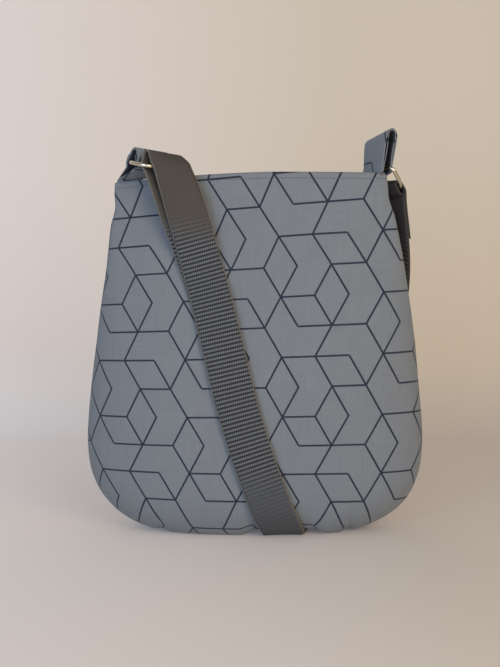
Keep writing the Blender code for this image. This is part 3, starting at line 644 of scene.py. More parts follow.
def thread(name, scale, dark, light):
    """Twisted polyester thread, whose strands run from dark to light."""
    made, add, shader = material(name, dark, 0.55)
    twist = add("TexNoise", {"Vector": add("TexCoord").outputs["Object"], "Scale": scale, "Detail": 1.0})
    add("Mix", {"Factor": twist, 6: dark, 7: light}, shader.inputs["Base Color"])
    return made


def stitches(name, lines, surface):
    """Rows of stitches, end to end, along lines of (point, normal off the cloth)."""
    bm = bmesh.new()
    size = Matrix.Diagonal((THREAD_RADIUS, THREAD_RADIUS, STITCH_HALF_LENGTH, 1))
    for line in lines:
        reach = STITCH / 2
        for (low, normal), (high, _) in zip(line, line[1:]):
            length = (high - low).length
            while reach <= length:
                along = (high - low).normalized()
                aside = along.cross(normal).normalized()
                turned = Matrix((aside, along.cross(aside), along)).transposed().to_4x4()
                placed = Matrix.Translation(low.lerp(high, reach / length)) @ turned @ size
                bmesh.ops.create_uvsphere(bm, u_segments=6, v_segments=5, radius=1, matrix=placed)
                reach += STITCH
            reach -= length
    bmesh.ops.recalc_face_normals(bm, faces=bm.faces)
    return finished(name, bm, surface)


def mouth_line(side):
    """The topstitching's line on the front or the back panel."""
    up = BASE_SHARE + (1 - BASE_SHARE) * ((BAG_HEIGHT - STITCH_DROP) / BAG_HEIGHT) ** (1 / HEIGHT_POWER)
    line = []
    for i in range(MOUTH_ROW_STEPS + 1):
        point = panel_point(MOUTH_ROW_SHARE * (2 * i / MOUTH_ROW_STEPS - 1), up, side, 0)
        proud = Vector((0, side * THREAD_RADIUS * THREAD_PROUD, 0))
        line.append((point + settling(point) + proud, Vector((0, side, 0))))
    return line


sewing_thread = thread("polyester_thread", 2500.0, 0x4C5259, 0x666D76)
for panel_side, panel_name in SIDES:
    piece = stitches(f"mouth_topstitching_{panel_name}", [mouth_line(panel_side)], sewing_thread)
    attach(piece, "bag")


# Lining: plain natural cotton, a second bag just inside the first, sewn in at the mouth. Matt and pale, with an
# uneven plain weave; the real threads are about 0.4 mm apart and are drawn at twice that.
LINING_INSET = 3 * MM
LINING_THICK = 0.6 * MM
LINING_THREAD = 0.8 * MM
LINING_CELLS = 60
lining_cloth, add, shader = material("plain_cotton_lining", 0xB9B4A8, 0.9, Sheen_Weight=0.1)
cloth = add("UVMap", uv_map="cloth")
place = add("SeparateXYZ", (cloth,))
threads = []
for source, stretch in ((0, (900, 60, 1)), (1, (60, 900, 1))):
    turns = add("MULTIPLY", (place.outputs[source], 2 * math.pi / LINING_THREAD))
    wave = add("SINE", (turns,))
    slub_place = add("Mapping", {"Vector": cloth, "Scale": stretch})
    slub = add("TexNoise", {"Vector": slub_place, "Scale": 1.0, "Detail": 2.0})
    threads.append(add("MULTIPLY", (wave, slub)))
height = add("ADD", threads)
add("Bump", {"Strength": 0.35, "Distance": 0.1 * MM, "Height": height}, shader.inputs["Normal"])
shade = add("MapRange", (height, -1, 1, 0, 1))
add("Mix", {"Factor": shade, 6: 0xA9A497, 7: 0xC4BFB3}, shader.inputs["Base Color"])
for panel_side, panel_name in SIDES:
    piece = panel(
        f"lining_cloth_{panel_name}", panel_side, LINING_INSET, LINING_CELLS, LINING_CELLS, LINING_THICK, lining_cloth
    )
    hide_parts(f"lining_{panel_name}")
    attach(piece, "bag")


# D-rings: round steel wire bent into a D and welded in its bar, nickel plated and polished. Smooth and bright,
# with faint handling marks.
WELD = 0.01 * MM
ENDS = ((True, "left"), (False, "right"))
nickel, add, shader = material("polished_nickel", 0xD8CDB8, 0.2, Metallic=1.0)
marks = add("TexNoise", {"Vector": add("TexCoord").outputs["Object"], "Scale": 420.0, "Detail": 3.0})
add("MapRange", (marks, 0.3, 0.7, 0.14, 0.30), shader.inputs["Roughness"])
add("Bump", {"Strength": 0.08, "Distance": 0.1 * MM, "Height": marks}, shader.inputs["Normal"])


def spun(bm, edges, centre, axis, angle, steps):
    """Spins a ring of edges about an axis and returns the last ring."""
    geom = edges + list({vert for part in edges for vert in part.verts})
    made = bmesh.ops.spin(bm, geom=geom, cent=centre, axis=axis, angle=angle, steps=steps)["geom_last"]
    return [part for part in made if isinstance(part, bmesh.types.BMEdge)]


def ring(name, left):
    """A D-ring: half of its wire is pushed and spun from the middle of its bar, and mirrored."""
    half = (RING_INNER_WIDTH + RING_WIRE) / 2
    bm = bmesh.new()
    upright = Matrix.Rotation(math.pi / 2, 4, "Y")
    bmesh.ops.create_circle(bm, radius=RING_WIRE / 2, segments=18, matrix=upright)
    wire = pushed(bm, bm.edges[:], (half - RING_BAR_CORNER, 0, 0))
    wire = spun(bm, wire, (half - RING_BAR_CORNER, RING_BAR_CORNER, 0), (0, 0, 1), math.pi / 2, 8)
    wire = pushed(bm, wire, (0, RING_DEPTH - RING_CORNER - RING_BAR_CORNER, 0))
    wire = spun(bm, wire, (half - RING_CORNER, RING_DEPTH - RING_CORNER, 0), (0, 0, 1), math.pi / 2, 12)
    pushed(bm, wire, (RING_CORNER - half, 0, 0))
    bmesh.ops.mirror(bm, geom=bm.verts[:] + bm.edges[:] + bm.faces[:], axis="X", merge_dist=WELD)
    bmesh.ops.remove_doubles(bm, verts=bm.verts, dist=WELD)
    bmesh.ops.recalc_face_normals(bm, faces=bm.faces)
    bmesh.ops.transform(bm, matrix=ring_frame(left), verts=bm.verts)
    return finished(name, bm, nickel)


for left, side_name in ENDS:
    piece = ring(f"d_ring_{side_name}", left)
    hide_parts(f"ring_{side_name}")
    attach(piece, f"ring_{side_name}")


# Tabs: a strip of the same canvas with its edges turned in, folded over a ring's bar and sewn into the mouth's
# corner. Its two layers show at each edge as a pair of folds.
TAB_WIDTH = 28 * MM
TAB_FOOT_WIDTH = {True: 17 * MM, False: 8 * MM}
TAB_FOOT_X = {True: -95 * MM, False: 92 * MM}
TAB_FOOT_DEPTH = 11 * MM
TAB_THICK = 1.4 * MM
TAB_LAYER = 0.75 * MM
TAB_LAYERS_APART = 1.1 * MM
TAB_SAG = {True: 1.6 * MM, False: 1.1 * MM}
TAB_UP = {True: Vector((0.12, -0.05, 0.99)), False: Vector((0.16, -0.02, 0.99))}
TAB_RISE = {True: 10.6 * MM, False: 25.5 * MM}
TAB_CREST = {True: Vector((0.77, 0.63, -0.06)), False: Vector((0.50, -0.84, 0.20))}
TAB_BAR_AXIS = {True: Vector((0.77, 0.63, -0.06)), False: Vector((0.40, -0.91, 0.0))}
TAB_BACK_BULGE = {True: 5.5 * MM, False: 0.6 * MM}
TAB_RIM_RISE = {True: -2 * MM, False: 1 * MM}
TAB_WAIST_SHARE = 0.35
TAB_GAP = 0.3 * MM
TAB_ROW = 1.0 * MM
TAB_COLUMNS = 20
TAB_PRINT_START = {True: (1.3, 3.4), False: (-1.76, -0.70)}


def smooth_route(stations, step):
    """Evenly spaced (centre, half-width) rows along a smooth curve through the stations, with each station's
    row number."""
    reach = [0.0]
    for (low, _), (high, _) in zip(stations, stations[1:]):
        reach.append(reach[-1] + (high - low).length)

    def slope(i, k):
        low, high = max(i - 1, 0), min(i + 1, len(stations) - 1)
        return (stations[high][k] - stations[low][k]) / (reach[high] - reach[low])

    count = max(2, round(reach[-1] / step))
    rows = []
    i = 0
    for n in range(count + 1):
        at = min(reach[-1] * n / count, reach[-1])
        while i < len(stations) - 2 and at > reach[i + 1]:
            i += 1
        span = reach[i + 1] - reach[i]
        t = (at - reach[i]) / span
        parts = []
        for k in range(2):
            parts.append(
                stations[i][k] * (2 * t**3 - 3 * t**2 + 1)
                + slope(i, k) * span * (t**3 - 2 * t**2 + t)
                + stations[i + 1][k] * (3 * t**2 - 2 * t**3)
                + slope(i + 1, k) * span * (t**3 - t**2)
            )
        rows.append((parts[0], parts[1]))
    return rows, [round(at / reach[-1] * count) for at in reach]


def band(name, rows, columns, thickness, surface, start=0.0, weights=None, least=1.0):
    """A flat strip through rows of (centre, half-width), closed by its thickness. The map 'cloth' holds metres
    across and along. weights gives a share of the thickness for each row and column."""
    bm = bmesh.new()
    bmesh.ops.create_grid(bm, x_segments=columns, y_segments=len(rows) - 1, size=1)
    layer = bm.loops.layers.uv.new("cloth")
    reach = [start]
    for (low, _), (high, _) in zip(rows, rows[1:]):
        reach.append(reach[-1] + (high - low).length)
    flat = {}
    shares = {}
    for vert in bm.verts:
        across, row = vert.co.x, round((vert.co.y + 1) / 2 * (len(rows) - 1))
        centre, half = rows[row]
        vert.co = centre + half * across
        flat[vert] = (across * half.length, reach[row])
        shares.setdefault(round(weights(row, across), 2) if weights else 1.0, []).append(vert)
    for face in bm.faces:
        for loop in face.loops:
            loop[layer].uv = flat[loop.vert]
    bm.verts.index_update()
    numbers = {share: [vert.index for vert in verts] for share, verts in shares.items()}
    obj = finished(name, bm, surface)
    wall = obj.modifiers.new("cloth", "SOLIDIFY")
    wall.thickness = thickness
    wall.offset = 0
    if weights:
        group = obj.vertex_groups.new(name="ribs")
        for share, found in numbers.items():
            group.add(found, share, "REPLACE")
        wall.vertex_group = "ribs"
        wall.thickness_vertex_group = least
    return obj


def tab_rows(left, off):
    """Rows of one of a tab's layers, which lies off outside (or inside) the middle of the strip."""
    placed = ring_frame(left)
    place = placed.translation
    axis = placed.to_3x3() @ Vector((1 if left else -1, 0, 0))
    across = axis.cross(TAB_UP[left]).normalized()
    up = across.cross(axis)
    forward = Vector((0, -1, 0))
    foot = Vector((TAB_FOOT_X[left], seam_y, BAG_HEIGHT - TAB_FOOT_DEPTH))
    rim = Vector((TAB_FOOT_X[left], seam_y, BAG_HEIGHT + TAB_RIM_RISE[left]))
    foot_half = Vector((TAB_FOOT_WIDTH[left] / 2, 0, 0))
    bar_half = TAB_BAR_AXIS[left].normalized() * TAB_WIDTH / 2
    crest_half = TAB_CREST[left].normalized() * TAB_WIDTH / 2
    closed = TAB_THICK / 2 + TAB_GAP / 2
    neck = RING_WIRE / 2 + 4.5 * TAB_GAP + TAB_THICK / 2
    belly = neck + TAB_GAP * 2
    rise = TAB_RISE[left]
    beside = place - up * neck
    waist = rim.lerp(beside, TAB_WAIST_SHARE)
    waist_half = foot_half.lerp(bar_half, TAB_WAIST_SHARE)
    waist_way = across.lerp(forward, TAB_WAIST_SHARE)
    sag = TAB_SAG[left] if off < 0 else 0

    def leg(bulge):
        """Stations up one wall: (point, half-width, distance out, way out)."""
        return [
            (foot, foot_half, closed, forward),
            (rim, foot_half, closed, forward),
            (waist, waist_half, neck + bulge * 0.4, waist_way),
            (beside, bar_half, neck + bulge * 0.9, across),
            (place, bar_half, neck + bulge, across),
            (place + up * rise * 0.45, bar_half.lerp(crest_half, 0.5), belly + bulge * 0.6 - sag, across),
            (place + up * (rise - belly), crest_half, belly + bulge * 0.2 - sag * 0.3, across),
            (place + up * (rise - belly * 0.3), crest_half, belly * 0.7, across),
        ]

    front = [(point + way * (out + off), half) for point, half, out, way in leg(0)]
    back = [(point - way * (out + off), half) for point, half, out, way in reversed(leg(TAB_BACK_BULGE[left]))]
    rows, _ = smooth_route(front + [(place + up * (rise + off), crest_half)] + back, TAB_ROW)
    return rows


tab_canvas = {
    left: canvas_material(f"printed_cotton_{side_name}_tab", *TAB_PRINT_START[left]) for left, side_name in ENDS
}
# Painted shade: each tab's inner layer is the same canvas, painted near-black to stand for the deep shade inside its
# fold.
tab_inner_painted_shade, add, shader = material("cotton_inner_painted_shade", 0x262A30, 0.92)
cloth = add("UVMap", uv_map="cloth")
fine = add("TexNoise", {"Vector": cloth, "Scale": 1100.0, "Detail": 2.0})
add("Mix", {"Factor": fine, 6: 0x171A20, 7: 0x353A42}, shader.inputs["Base Color"])
for left, side_name in ENDS:
    for layer_name, off in (("outer", TAB_LAYERS_APART / 2), ("inner", -TAB_LAYERS_APART / 2)):
        surface = tab_canvas[left] if layer_name == "outer" else tab_inner_painted_shade
        piece = band(f"tab_{side_name}_{layer_name}", tab_rows(left, off), TAB_COLUMNS, TAB_LAYER, surface)
        piece.data.materials.append(tab_canvas[left])
        piece.modifiers["cloth"].material_offset_rim = 1
        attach(piece, "bag")
    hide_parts(f"tab_{side_name}")


# Strap: one length of ribbed polypropylene webbing, grey-brown, with a paler selvedge. It is sewn round the right
# ring and round the strap slider's middle bar, and passes the left ring and the bag's base twice.
RIB = 3.1 * MM
ROWS_PER_RIB = 6
FOLD_HEIGHT = 10.5 * MM
FOLD_LEAVE = Vector((0.50, -0.20, -0.84)) * 7 * MM
FOLD_LEAVE_TURN = 0.4
FOLD_STEPS = 16
FOLD_STATIONS = 11
LOOP_STEPS = 12
INNER_WAY = Vector((-0.42, 0.10, 0.85))
OUTER_WAY = Vector((-0.42, 0.10, 0.90))
OUTER_WAY_SHARE = 0.6
END_FLAP = 38 * MM
END_SEAM = 5 * MM
SPAN_HOLD = 0.25
SPAN_END_WAY = Vector((-0.02, -0.16, 1.0))
SPAN_END_SHARE = 0.8
RUN_BUNCH = 2.2
FRONT_STATIONS = 40
BACK_STATIONS = 26
UPPER_STATIONS = 12
SPAN_STATIONS = 12
BESIDE_STATIONS = 14
TURN_HEIGHT = 14 * MM
SLIDER_BAR = 3 * MM
SLIDER_SLOT = 9.7 * MM
SLIDER_SIDE = 3 * MM
SLIDER_THICK = 2.4 * MM
SLIDER_HEIGHT = 100 * MM
SLIDER_FLAP = 27 * MM
SLACK = 2.2 * MM


def layer_run(inner, side, low, high, count, line, slack=0):
    """Stations up the bag's front or back, against its face or slack between its ends, bunched towards the base."""
    found = []
    for i in range(count):
        z = low + (high - low) * (i / (count - 1)) ** RUN_BUNCH
        offset = (INNER_OFFSET if inner else OUTER_OFFSET) + slack * math.sin(math.pi * (z - low) / (high - low))
        point, normal = on_bag(line(z), z, side, offset)
        ahead, _ = on_bag(line(z + MM), z + MM, side, offset)
        across = normal.cross(ahead - point).normalized()
        found.append((point, across * (STRAP_WIDTH / 2) * math.copysign(1, across.x)))
    return found


def base_run(inner):
    """Stations under the base, from the front edge to the back one."""
    z = BASE_LIFT - (INNER_OFFSET if inner else OUTER_OFFSET)
    across = Vector((2 * BASE_HALF_DEPTH, FRONT_BASE_X - BACK_BASE_X, 0)).normalized() * STRAP_WIDTH / 2
    front = Vector((FRONT_BASE_X, seam_y - BASE_HALF_DEPTH, z))
    back = Vector((BACK_BASE_X, seam_y + BASE_HALF_DEPTH, z))
    return [(front.lerp(back, share), across) for share in (0.2, 0.5, 0.8)]


def span(start, end, start_way, end_way, count):
    """Stations of a free stretch of webbing, which turns to the ring's bar over its upper part."""
    found = []
    for i in range(1, count):
        t = i / count
        point = start[0] * (2 * t**3 - 3 * t**2 + 1) + end[0] * (3 * t**2 - 2 * t**3)
        point += start_way * (t**3 - 2 * t**2 + t) + end_way * (t**3 - t**2)
        turned = smoothstep((t - SPAN_HOLD) / (1 - SPAN_HOLD))
        found.append((point, start[1].lerp(end[1], turned).normalized() * STRAP_WIDTH / 2))
    return found


def left_fold():
    """Stations up behind the left ring's curved side, over it and down in front."""
    placed = ring_frame(True)
    inside, outside = strap_pass(True), strap_pass(False)
    middle, radius = (inside + outside) / 2, (outside - inside) / 2
    half = placed.to_3x3() @ Vector((STRAP_WIDTH / 2, 0, 0))
    up = -1 if (placed.to_3x3() @ Vector((0, 0, 1))).z < 0 else 1
    found = [(placed @ Vector((0, inside, 0)), half)]
    for i in range(FOLD_STATIONS):
        turned = math.pi * i / FOLD_STEPS
        rise = FOLD_HEIGHT - radius * (1 - math.sin(turned))
        found.append((placed @ Vector((0, middle - radius * math.cos(turned), up * rise)), half))
    level = Vector((STRAP_WIDTH / 2, 0, 0))
    leave_half = half.lerp(level, FOLD_LEAVE_TURN).normalized() * STRAP_WIDTH / 2
    return found + [(found[-1][0] + FOLD_LEAVE, leave_half)]


def right_fold():
    """Stations round the right ring's curved side: up beside it, through the ring and back."""
    placed = ring_frame(False)
    inside = strap_pass(True)
    beside = RING_WIRE / 2 + STRAP_GAP + STRAP_THICK / 2
    sewn = RING_DEPTH + END_SEAM
    half = placed.to_3x3() @ Vector((-STRAP_WIDTH / 2, 0, 0))
    profile = [(sewn, 0), (RING_DEPTH + RING_WIRE, beside), (inside + beside, beside)]
    for i in range(1, LOOP_STEPS):
        turned = math.pi * i / LOOP_STEPS
        profile.append((inside + beside * (1 - math.sin(turned)), beside * math.cos(turned)))
    profile += [(inside + beside, -beside), (RING_DEPTH + RING_WIRE, -beside), (sewn, -LAYER_STEP)]
    return [(placed @ Vector((0, out, away)), half) for out, away in profile]


def slider_frame():
    """Placement at the strap slider: origin on the bag's face, X across the webbing, Y up along it, Z out."""
    point, normal = on_bag(back_line(SLIDER_HEIGHT), SLIDER_HEIGHT, 1, 0)
    ahead, _ = on_bag(back_line(SLIDER_HEIGHT + MM), SLIDER_HEIGHT + MM, 1, 0)
    y = (ahead - point).normalized()
    x = y.cross(normal).normalized()
    return Matrix.Translation(point) @ Matrix((x, y, x.cross(y))).transposed().to_4x4()


def in_slider(profile):
    """Stations at the strap slider, from points along the webbing and out from the bag."""
    placed = slider_frame()
    half = placed.to_3x3() @ Vector((STRAP_WIDTH / 2, 0, 0))
    half *= math.copysign(1, half.x)
    return [(placed @ Vector((0, along, out)), half) for along, out in profile]


slider_middle = OUTER_OFFSET + LAYER_STEP + STRAP_THICK / 2 + STRAP_GAP + SLIDER_THICK / 2
round_bar = SLIDER_THICK / 2 + STRAP_GAP + STRAP_THICK / 2
beside_bar = SLIDER_BAR / 2 + STRAP_GAP + STRAP_THICK / 2
slider_loop = in_slider(
    [
        (-SLIDER_FLAP, OUTER_OFFSET),
        (-beside_bar * 4, OUTER_OFFSET),
        (-beside_bar * 2.5, OUTER_OFFSET + STRAP_THICK),
        (-beside_bar * 1.1, slider_middle + STRAP_GAP),
        (-beside_bar * 0.6, slider_middle + round_bar * 0.9),
        (0, slider_middle + round_bar),
        (beside_bar * 0.8, slider_middle + round_bar * 0.7),
        (beside_bar, slider_middle),
        (beside_bar * 0.7, slider_middle - round_bar * 0.8),
        (0, slider_middle - round_bar),
        (-beside_bar * 1.3, slider_middle - round_bar * 1.35),
        (-beside_bar * 2.5, INNER_OFFSET + STRAP_GAP * 2),
        (-beside_bar * 4, INNER_OFFSET),
    ]
)
under = slider_middle - round_bar
over = slider_middle + SLIDER_THICK / 2 + 2 * STRAP_GAP + 1.5 * STRAP_THICK
slot_end = SLIDER_BAR / 2 + SLIDER_SLOT
crown = SLIDER_BAR / 2 + 1.7 * STRAP_THICK
bend_at = slot_end - STRAP_GAP * 1.5
beyond = slot_end + SLIDER_BAR + STRAP_GAP
slider_weave = in_slider(
    [(-beyond, under), (-bend_at, under), (-crown, over), (crown, over), (bend_at, under), (beyond, under)]
)
low_back = SLIDER_HEIGHT - SLIDER_FLAP - STRAP_WIDTH / 2
inner_front = layer_run(True, -1, 0, FRONT_TOUCH, FRONT_STATIONS, lambda z: front_line(z, True))
outer_front = layer_run(False, -1, 0, FRONT_TOUCH, FRONT_STATIONS, lambda z: front_line(z, False))
inner_back = layer_run(True, 1, 0, low_back, BACK_STATIONS, back_line)
outer_back = layer_run(False, 1, 0, low_back, BACK_STATIONS, back_line)
upper_back = layer_run(True, 1, SLIDER_HEIGHT + STRAP_WIDTH, BACK_TOUCH, UPPER_STATIONS, back_line, SLACK)
fold = left_fold()
ring_loop = right_fold()
rise = fold[0][0].z - FRONT_TOUCH
inner_slope = (inner_front[-1][0] - inner_front[-2][0]).normalized() * rise
outer_slope = (outer_front[-1][0] - outer_front[-2][0]).normalized() * rise
outer_way = OUTER_WAY * rise * OUTER_WAY_SHARE
inner_way = INNER_WAY * rise
gap_length = (ring_loop[0][0] - upper_back[-1][0]).length
leave = (upper_back[-1][0] - upper_back[-2][0]).normalized() * gap_length
arrive = SPAN_END_WAY.normalized() * gap_length * SPAN_END_SHARE
beside_bag = span(upper_back[-1], ring_loop[0], leave, arrive, BESIDE_STATIONS)
flap = []
flap_reach = (ring_loop[-1][0] - ring_loop[-2][0]).length
off_span = (ring_frame(False).to_3x3() @ Vector((0, 0, -1))) * LAYER_STEP
last = ring_loop[-1][0]
for centre, half in reversed(beside_bag):
    flap_reach += (last - centre - off_span).length
    if flap_reach > END_FLAP:
        break
    last = centre + off_span
    flap.append((last, half))

lengths = []
route = []
for part in (
    slider_loop,
    inner_back[::-1] + base_run(True)[::-1] + inner_front,
    span(inner_front[-1], fold[0], inner_slope, inner_way, SPAN_STATIONS) + fold
    + span(outer_front[-1], fold[-1], outer_slope, outer_way, SPAN_STATIONS)[::-1],
    outer_front[::-1] + base_run(False) + outer_back,
    slider_weave,
    upper_back,
    beside_bag + ring_loop + flap,
):
    route += part
    lengths.append(len(route))
strap_rows, marks = smooth_route(route, RIB / ROWS_PER_RIB)
loop_end, front_up, fold_end, back_up, weave_end, upper_end = (marks[n - 1] for n in lengths[:6])


def turn_back(low, high, rising):
    """The row between two others at which the webbing has turned the base and started up the back."""
    found = range(low, high) if rising else range(high, low, -1)
    return next(n for n in found if strap_rows[n][0].y > seam_y and strap_rows[n][0].z > TURN_HEIGHT)


cut_inner = turn_back(loop_end, (loop_end + front_up) // 2, False)
cut_outer = turn_back((fold_end + back_up) // 2, back_up, True)
cut_crest = (back_up + weave_end) // 2

STRAP_SHOWN_THICK = STRAP_THICK * 1.15
STRAP_COLUMNS = 12
RIB_POWER = 0.6
RIB_VALLEY = 0.25
RIB_LEAST = 0.45
EDGE_START = 0.86
EDGE_THIN = 0.5
PRESSED_THICK = 0.8
PRESSED_SHARE = 0.85
PRESSED_BASE = 30 * MM
OPEN_BASE = 55 * MM
OPEN_TOP = 214 * MM
PRESSED_TOP = 236 * MM


def rib_share(row, across):
    """Share of the webbing's full thickness: ribs, thinner at the edges, pressed flat near the left ring."""
    ribs = abs(math.sin(math.pi * row / ROWS_PER_RIB)) ** RIB_POWER
    pressed = smoothstep((strap_rows[row][0].z - OPEN_TOP) / (PRESSED_TOP - OPEN_TOP))
    ribs += (PRESSED_THICK - ribs) * PRESSED_SHARE * pressed
    edge = smoothstep((abs(across) - EDGE_START) / (1 - EDGE_START))
    return (RIB_VALLEY + (1 - RIB_VALLEY) * ribs) * (1 - EDGE_THIN * edge)


# Polypropylene yarn, woven in a tight rib: matt to silky grey-brown floats with a plain pale selvedge. The raised
# floats are painted lighter as a painted highlight, and the valleys between the ribs near-black as a painted shade.
# The floats are drawn 1.6 mm apart, about twice the real spacing. Where the webbing has been pulled round a ring or
# under the base its ribs are pressed flat. The stretch beside the right ring is painted nearly black as painted
# shade.
FLOAT = 1.6 * MM
FLOAT_STEP = math.pi * 0.62
SELVEDGE = 0.7 * MM
SHADE_X = (80 * MM, 96 * MM)
webbing, add, shader = material("ribbed_polypropylene_webbing", 0x5F584F, 0.72)
cloth = add("UVMap", uv_map="cloth")
place = add("SeparateXYZ", (cloth,))
level = add("SeparateXYZ", (add("TexCoord").outputs["Object"],))
rib_count = add("MULTIPLY", (place.outputs[1], 1 / RIB))
rib_turn = add("MULTIPLY", (rib_count, math.pi))
rib_wave = add("SINE", (rib_turn,))
rib_height = add("ABSOLUTE", (rib_wave,))
rib_number = add("FLOOR", (rib_count,))
float_shift = add("MULTIPLY", (rib_number, FLOAT_STEP))
float_turn = add("MULTIPLY_ADD", (place, 2 * math.pi / FLOAT, float_shift))
float_wave = add("SINE", (float_turn,))
yarn = add("TexNoise", {"Vector": cloth, "Scale": 700.0, "Detail": 2.0})
floats = add("MapRange", (float_wave, -0.7, 0.7, 0.30, 1))
raised = add("MapRange", (rib_height, 0.45, 0.90, 0, 1), interpolation_type="SMOOTHSTEP")
top_fade = add("MapRange", (level.outputs[2], PRESSED_TOP, OPEN_TOP, 0, 1))
low_fade = add("MapRange", (level.outputs[2], PRESSED_BASE, OPEN_BASE, 0, 1))
open_weave = add("MULTIPLY", (top_fade, low_fade))
# Painted light: the tops of the raised floats are painted light as a highlight; the valleys between the ribs go dark.
lit = add("MULTIPLY", (raised, floats))
column_turn = add("MULTIPLY", (place, 2 * math.pi / FLOAT))
columns = add("SINE", (column_turn,))
pressed = add("MapRange", (columns, -1, 1, 0.28, 0.42))
tone = add("Mix", {"Factor": open_weave, 2: pressed, 3: lit}, data_type="FLOAT")
mixed = add("MULTIPLY_ADD", (yarn, 0.22, tone))
rib_light_share = add("MapRange", (mixed, 0.10, 1.12, 0, 1))
yarn_colour = add("Mix", {"Factor": top_fade, 6: 0x6C6156, 7: 0x717478})
# Painted shade: between the ribs the colour falls to near-black 0x1C1E21.
painted_rib_light = add("Mix", {"Factor": rib_light_share, 6: 0x1C1E21, 7: yarn_colour})
from_middle = add("ABSOLUTE", (place,))
at_edge = add("MapRange", (from_middle, STRAP_WIDTH / 2 - SELVEDGE, STRAP_WIDTH / 2 - SELVEDGE * 0.7, 0, 0.75))
edged_colour = add("Mix", {"Factor": at_edge, 6: painted_rib_light, 7: 0x7A7468})
# Painted shade: from 80 to 96 mm right of the middle the webbing is painted nearly black, as the shade beside the
# right ring.
painted_shade_beside_ring = add("MapRange", (level, *SHADE_X, 0, 0.85), interpolation_type="SMOOTHSTEP")
add("Mix", {"Factor": painted_shade_beside_ring, 6: edged_colour, 7: 0x1B1714}, shader.inputs["Base Color"])
relief = add("MULTIPLY_ADD", (floats, 0.6, rib_height))
relief = add("MULTIPLY", (relief, open_weave))
add("Bump", {"Strength": 0.5, "Distance": 0.25 * MM, "Height": relief}, shader.inputs["Normal"])
strap_pieces = {}
for piece_name, low, high in (
    ("strap_sewn_end", 0, cut_inner),
    ("strap_inner_run", cut_inner, front_up),
    ("strap_left_fold", front_up, fold_end),
    ("strap_outer_run", fold_end, cut_outer),
    ("strap_under_slider", cut_outer, cut_crest),
    ("strap_over_slider", cut_crest, upper_end),
    ("strap_right_end", upper_end, len(strap_rows) - 1),
):
    strap_pieces[piece_name] = band(
        piece_name, strap_rows[low : high + 1], STRAP_COLUMNS, STRAP_SHOWN_THICK, webbing, low * RIB / ROWS_PER_RIB,
        lambda row, across, low=low: rib_share(low + row, across), RIB_LEAST,
    )
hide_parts("strap_webbing")
for piece_name in ("strap_inner_run", "strap_outer_run"):
    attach(strap_pieces[piece_name], "bag")
slider_place = slider_frame()
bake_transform(strap_pieces["strap_sewn_end"])
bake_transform(strap_pieces["strap_under_slider"])
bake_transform(strap_pieces["strap_over_slider"])
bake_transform(strap_pieces["strap_left_fold"])
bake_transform(strap_pieces["strap_right_end"])


# Box stitching: the webbing's end is sewn down below the right ring with a box and a cross of thick black-brown
# polyester thread, which lies on the flap.
BOX_SHARE = 0.76
BOX_END_ROWS = round(4 * MM * ROWS_PER_RIB / RIB)
BOX_THREAD_PROUD = 0.3
flap_first = marks[len(route) - len(flap)]
box_rows = strap_rows[flap_first + BOX_END_ROWS : -BOX_END_ROWS]
last_row = len(box_rows) - 1


def on_flap(row, share):
    """(point, normal) on the flap's outer face."""
    centre, half = box_rows[row]
    ahead = box_rows[min(row + 1, last_row)][0] - box_rows[max(row - 1, 0)][0]
    normal = half.cross(ahead).normalized()
    if normal.dot(off_span) < 0:
        normal.negate()
    return centre + half * share + normal * (STRAP_SHOWN_THICK / 2 + THREAD_RADIUS * BOX_THREAD_PROUD), normal


box_lines = [[on_flap(row, share) for row in range(last_row + 1)] for share in (-BOX_SHARE, BOX_SHARE)]
box_lines += [[on_flap(row, BOX_SHARE * (k / 10 - 1)) for k in range(21)] for row in (0, last_row)]
for way in (-1, 1):
    box_lines.append([on_flap(row, way * BOX_SHARE * (2 * row / last_row - 1)) for row in range(last_row + 1)])
box_thread = thread("thick_polyester_thread", 1800.0, 0x1D1B19, 0x4A4540)
piece = stitches("strap_box_stitching", box_lines, box_thread)
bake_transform(piece)


# Strap slider: a flat die-cast zinc frame with a middle bar, which the webbing's sewn end turns round, nickel
# plated like the rings, with its edges tumbled round.
SLIDER_ROUND = 0.8 * MM
half_slot = RING_INNER_WIDTH / 2
grid_x = (-half_slot - SLIDER_SIDE, -half_slot, half_slot, half_slot + SLIDER_SIDE)
grid_y = (-slot_end - SLIDER_BAR, -slot_end, -SLIDER_BAR / 2, SLIDER_BAR / 2, slot_end, slot_end + SLIDER_BAR)


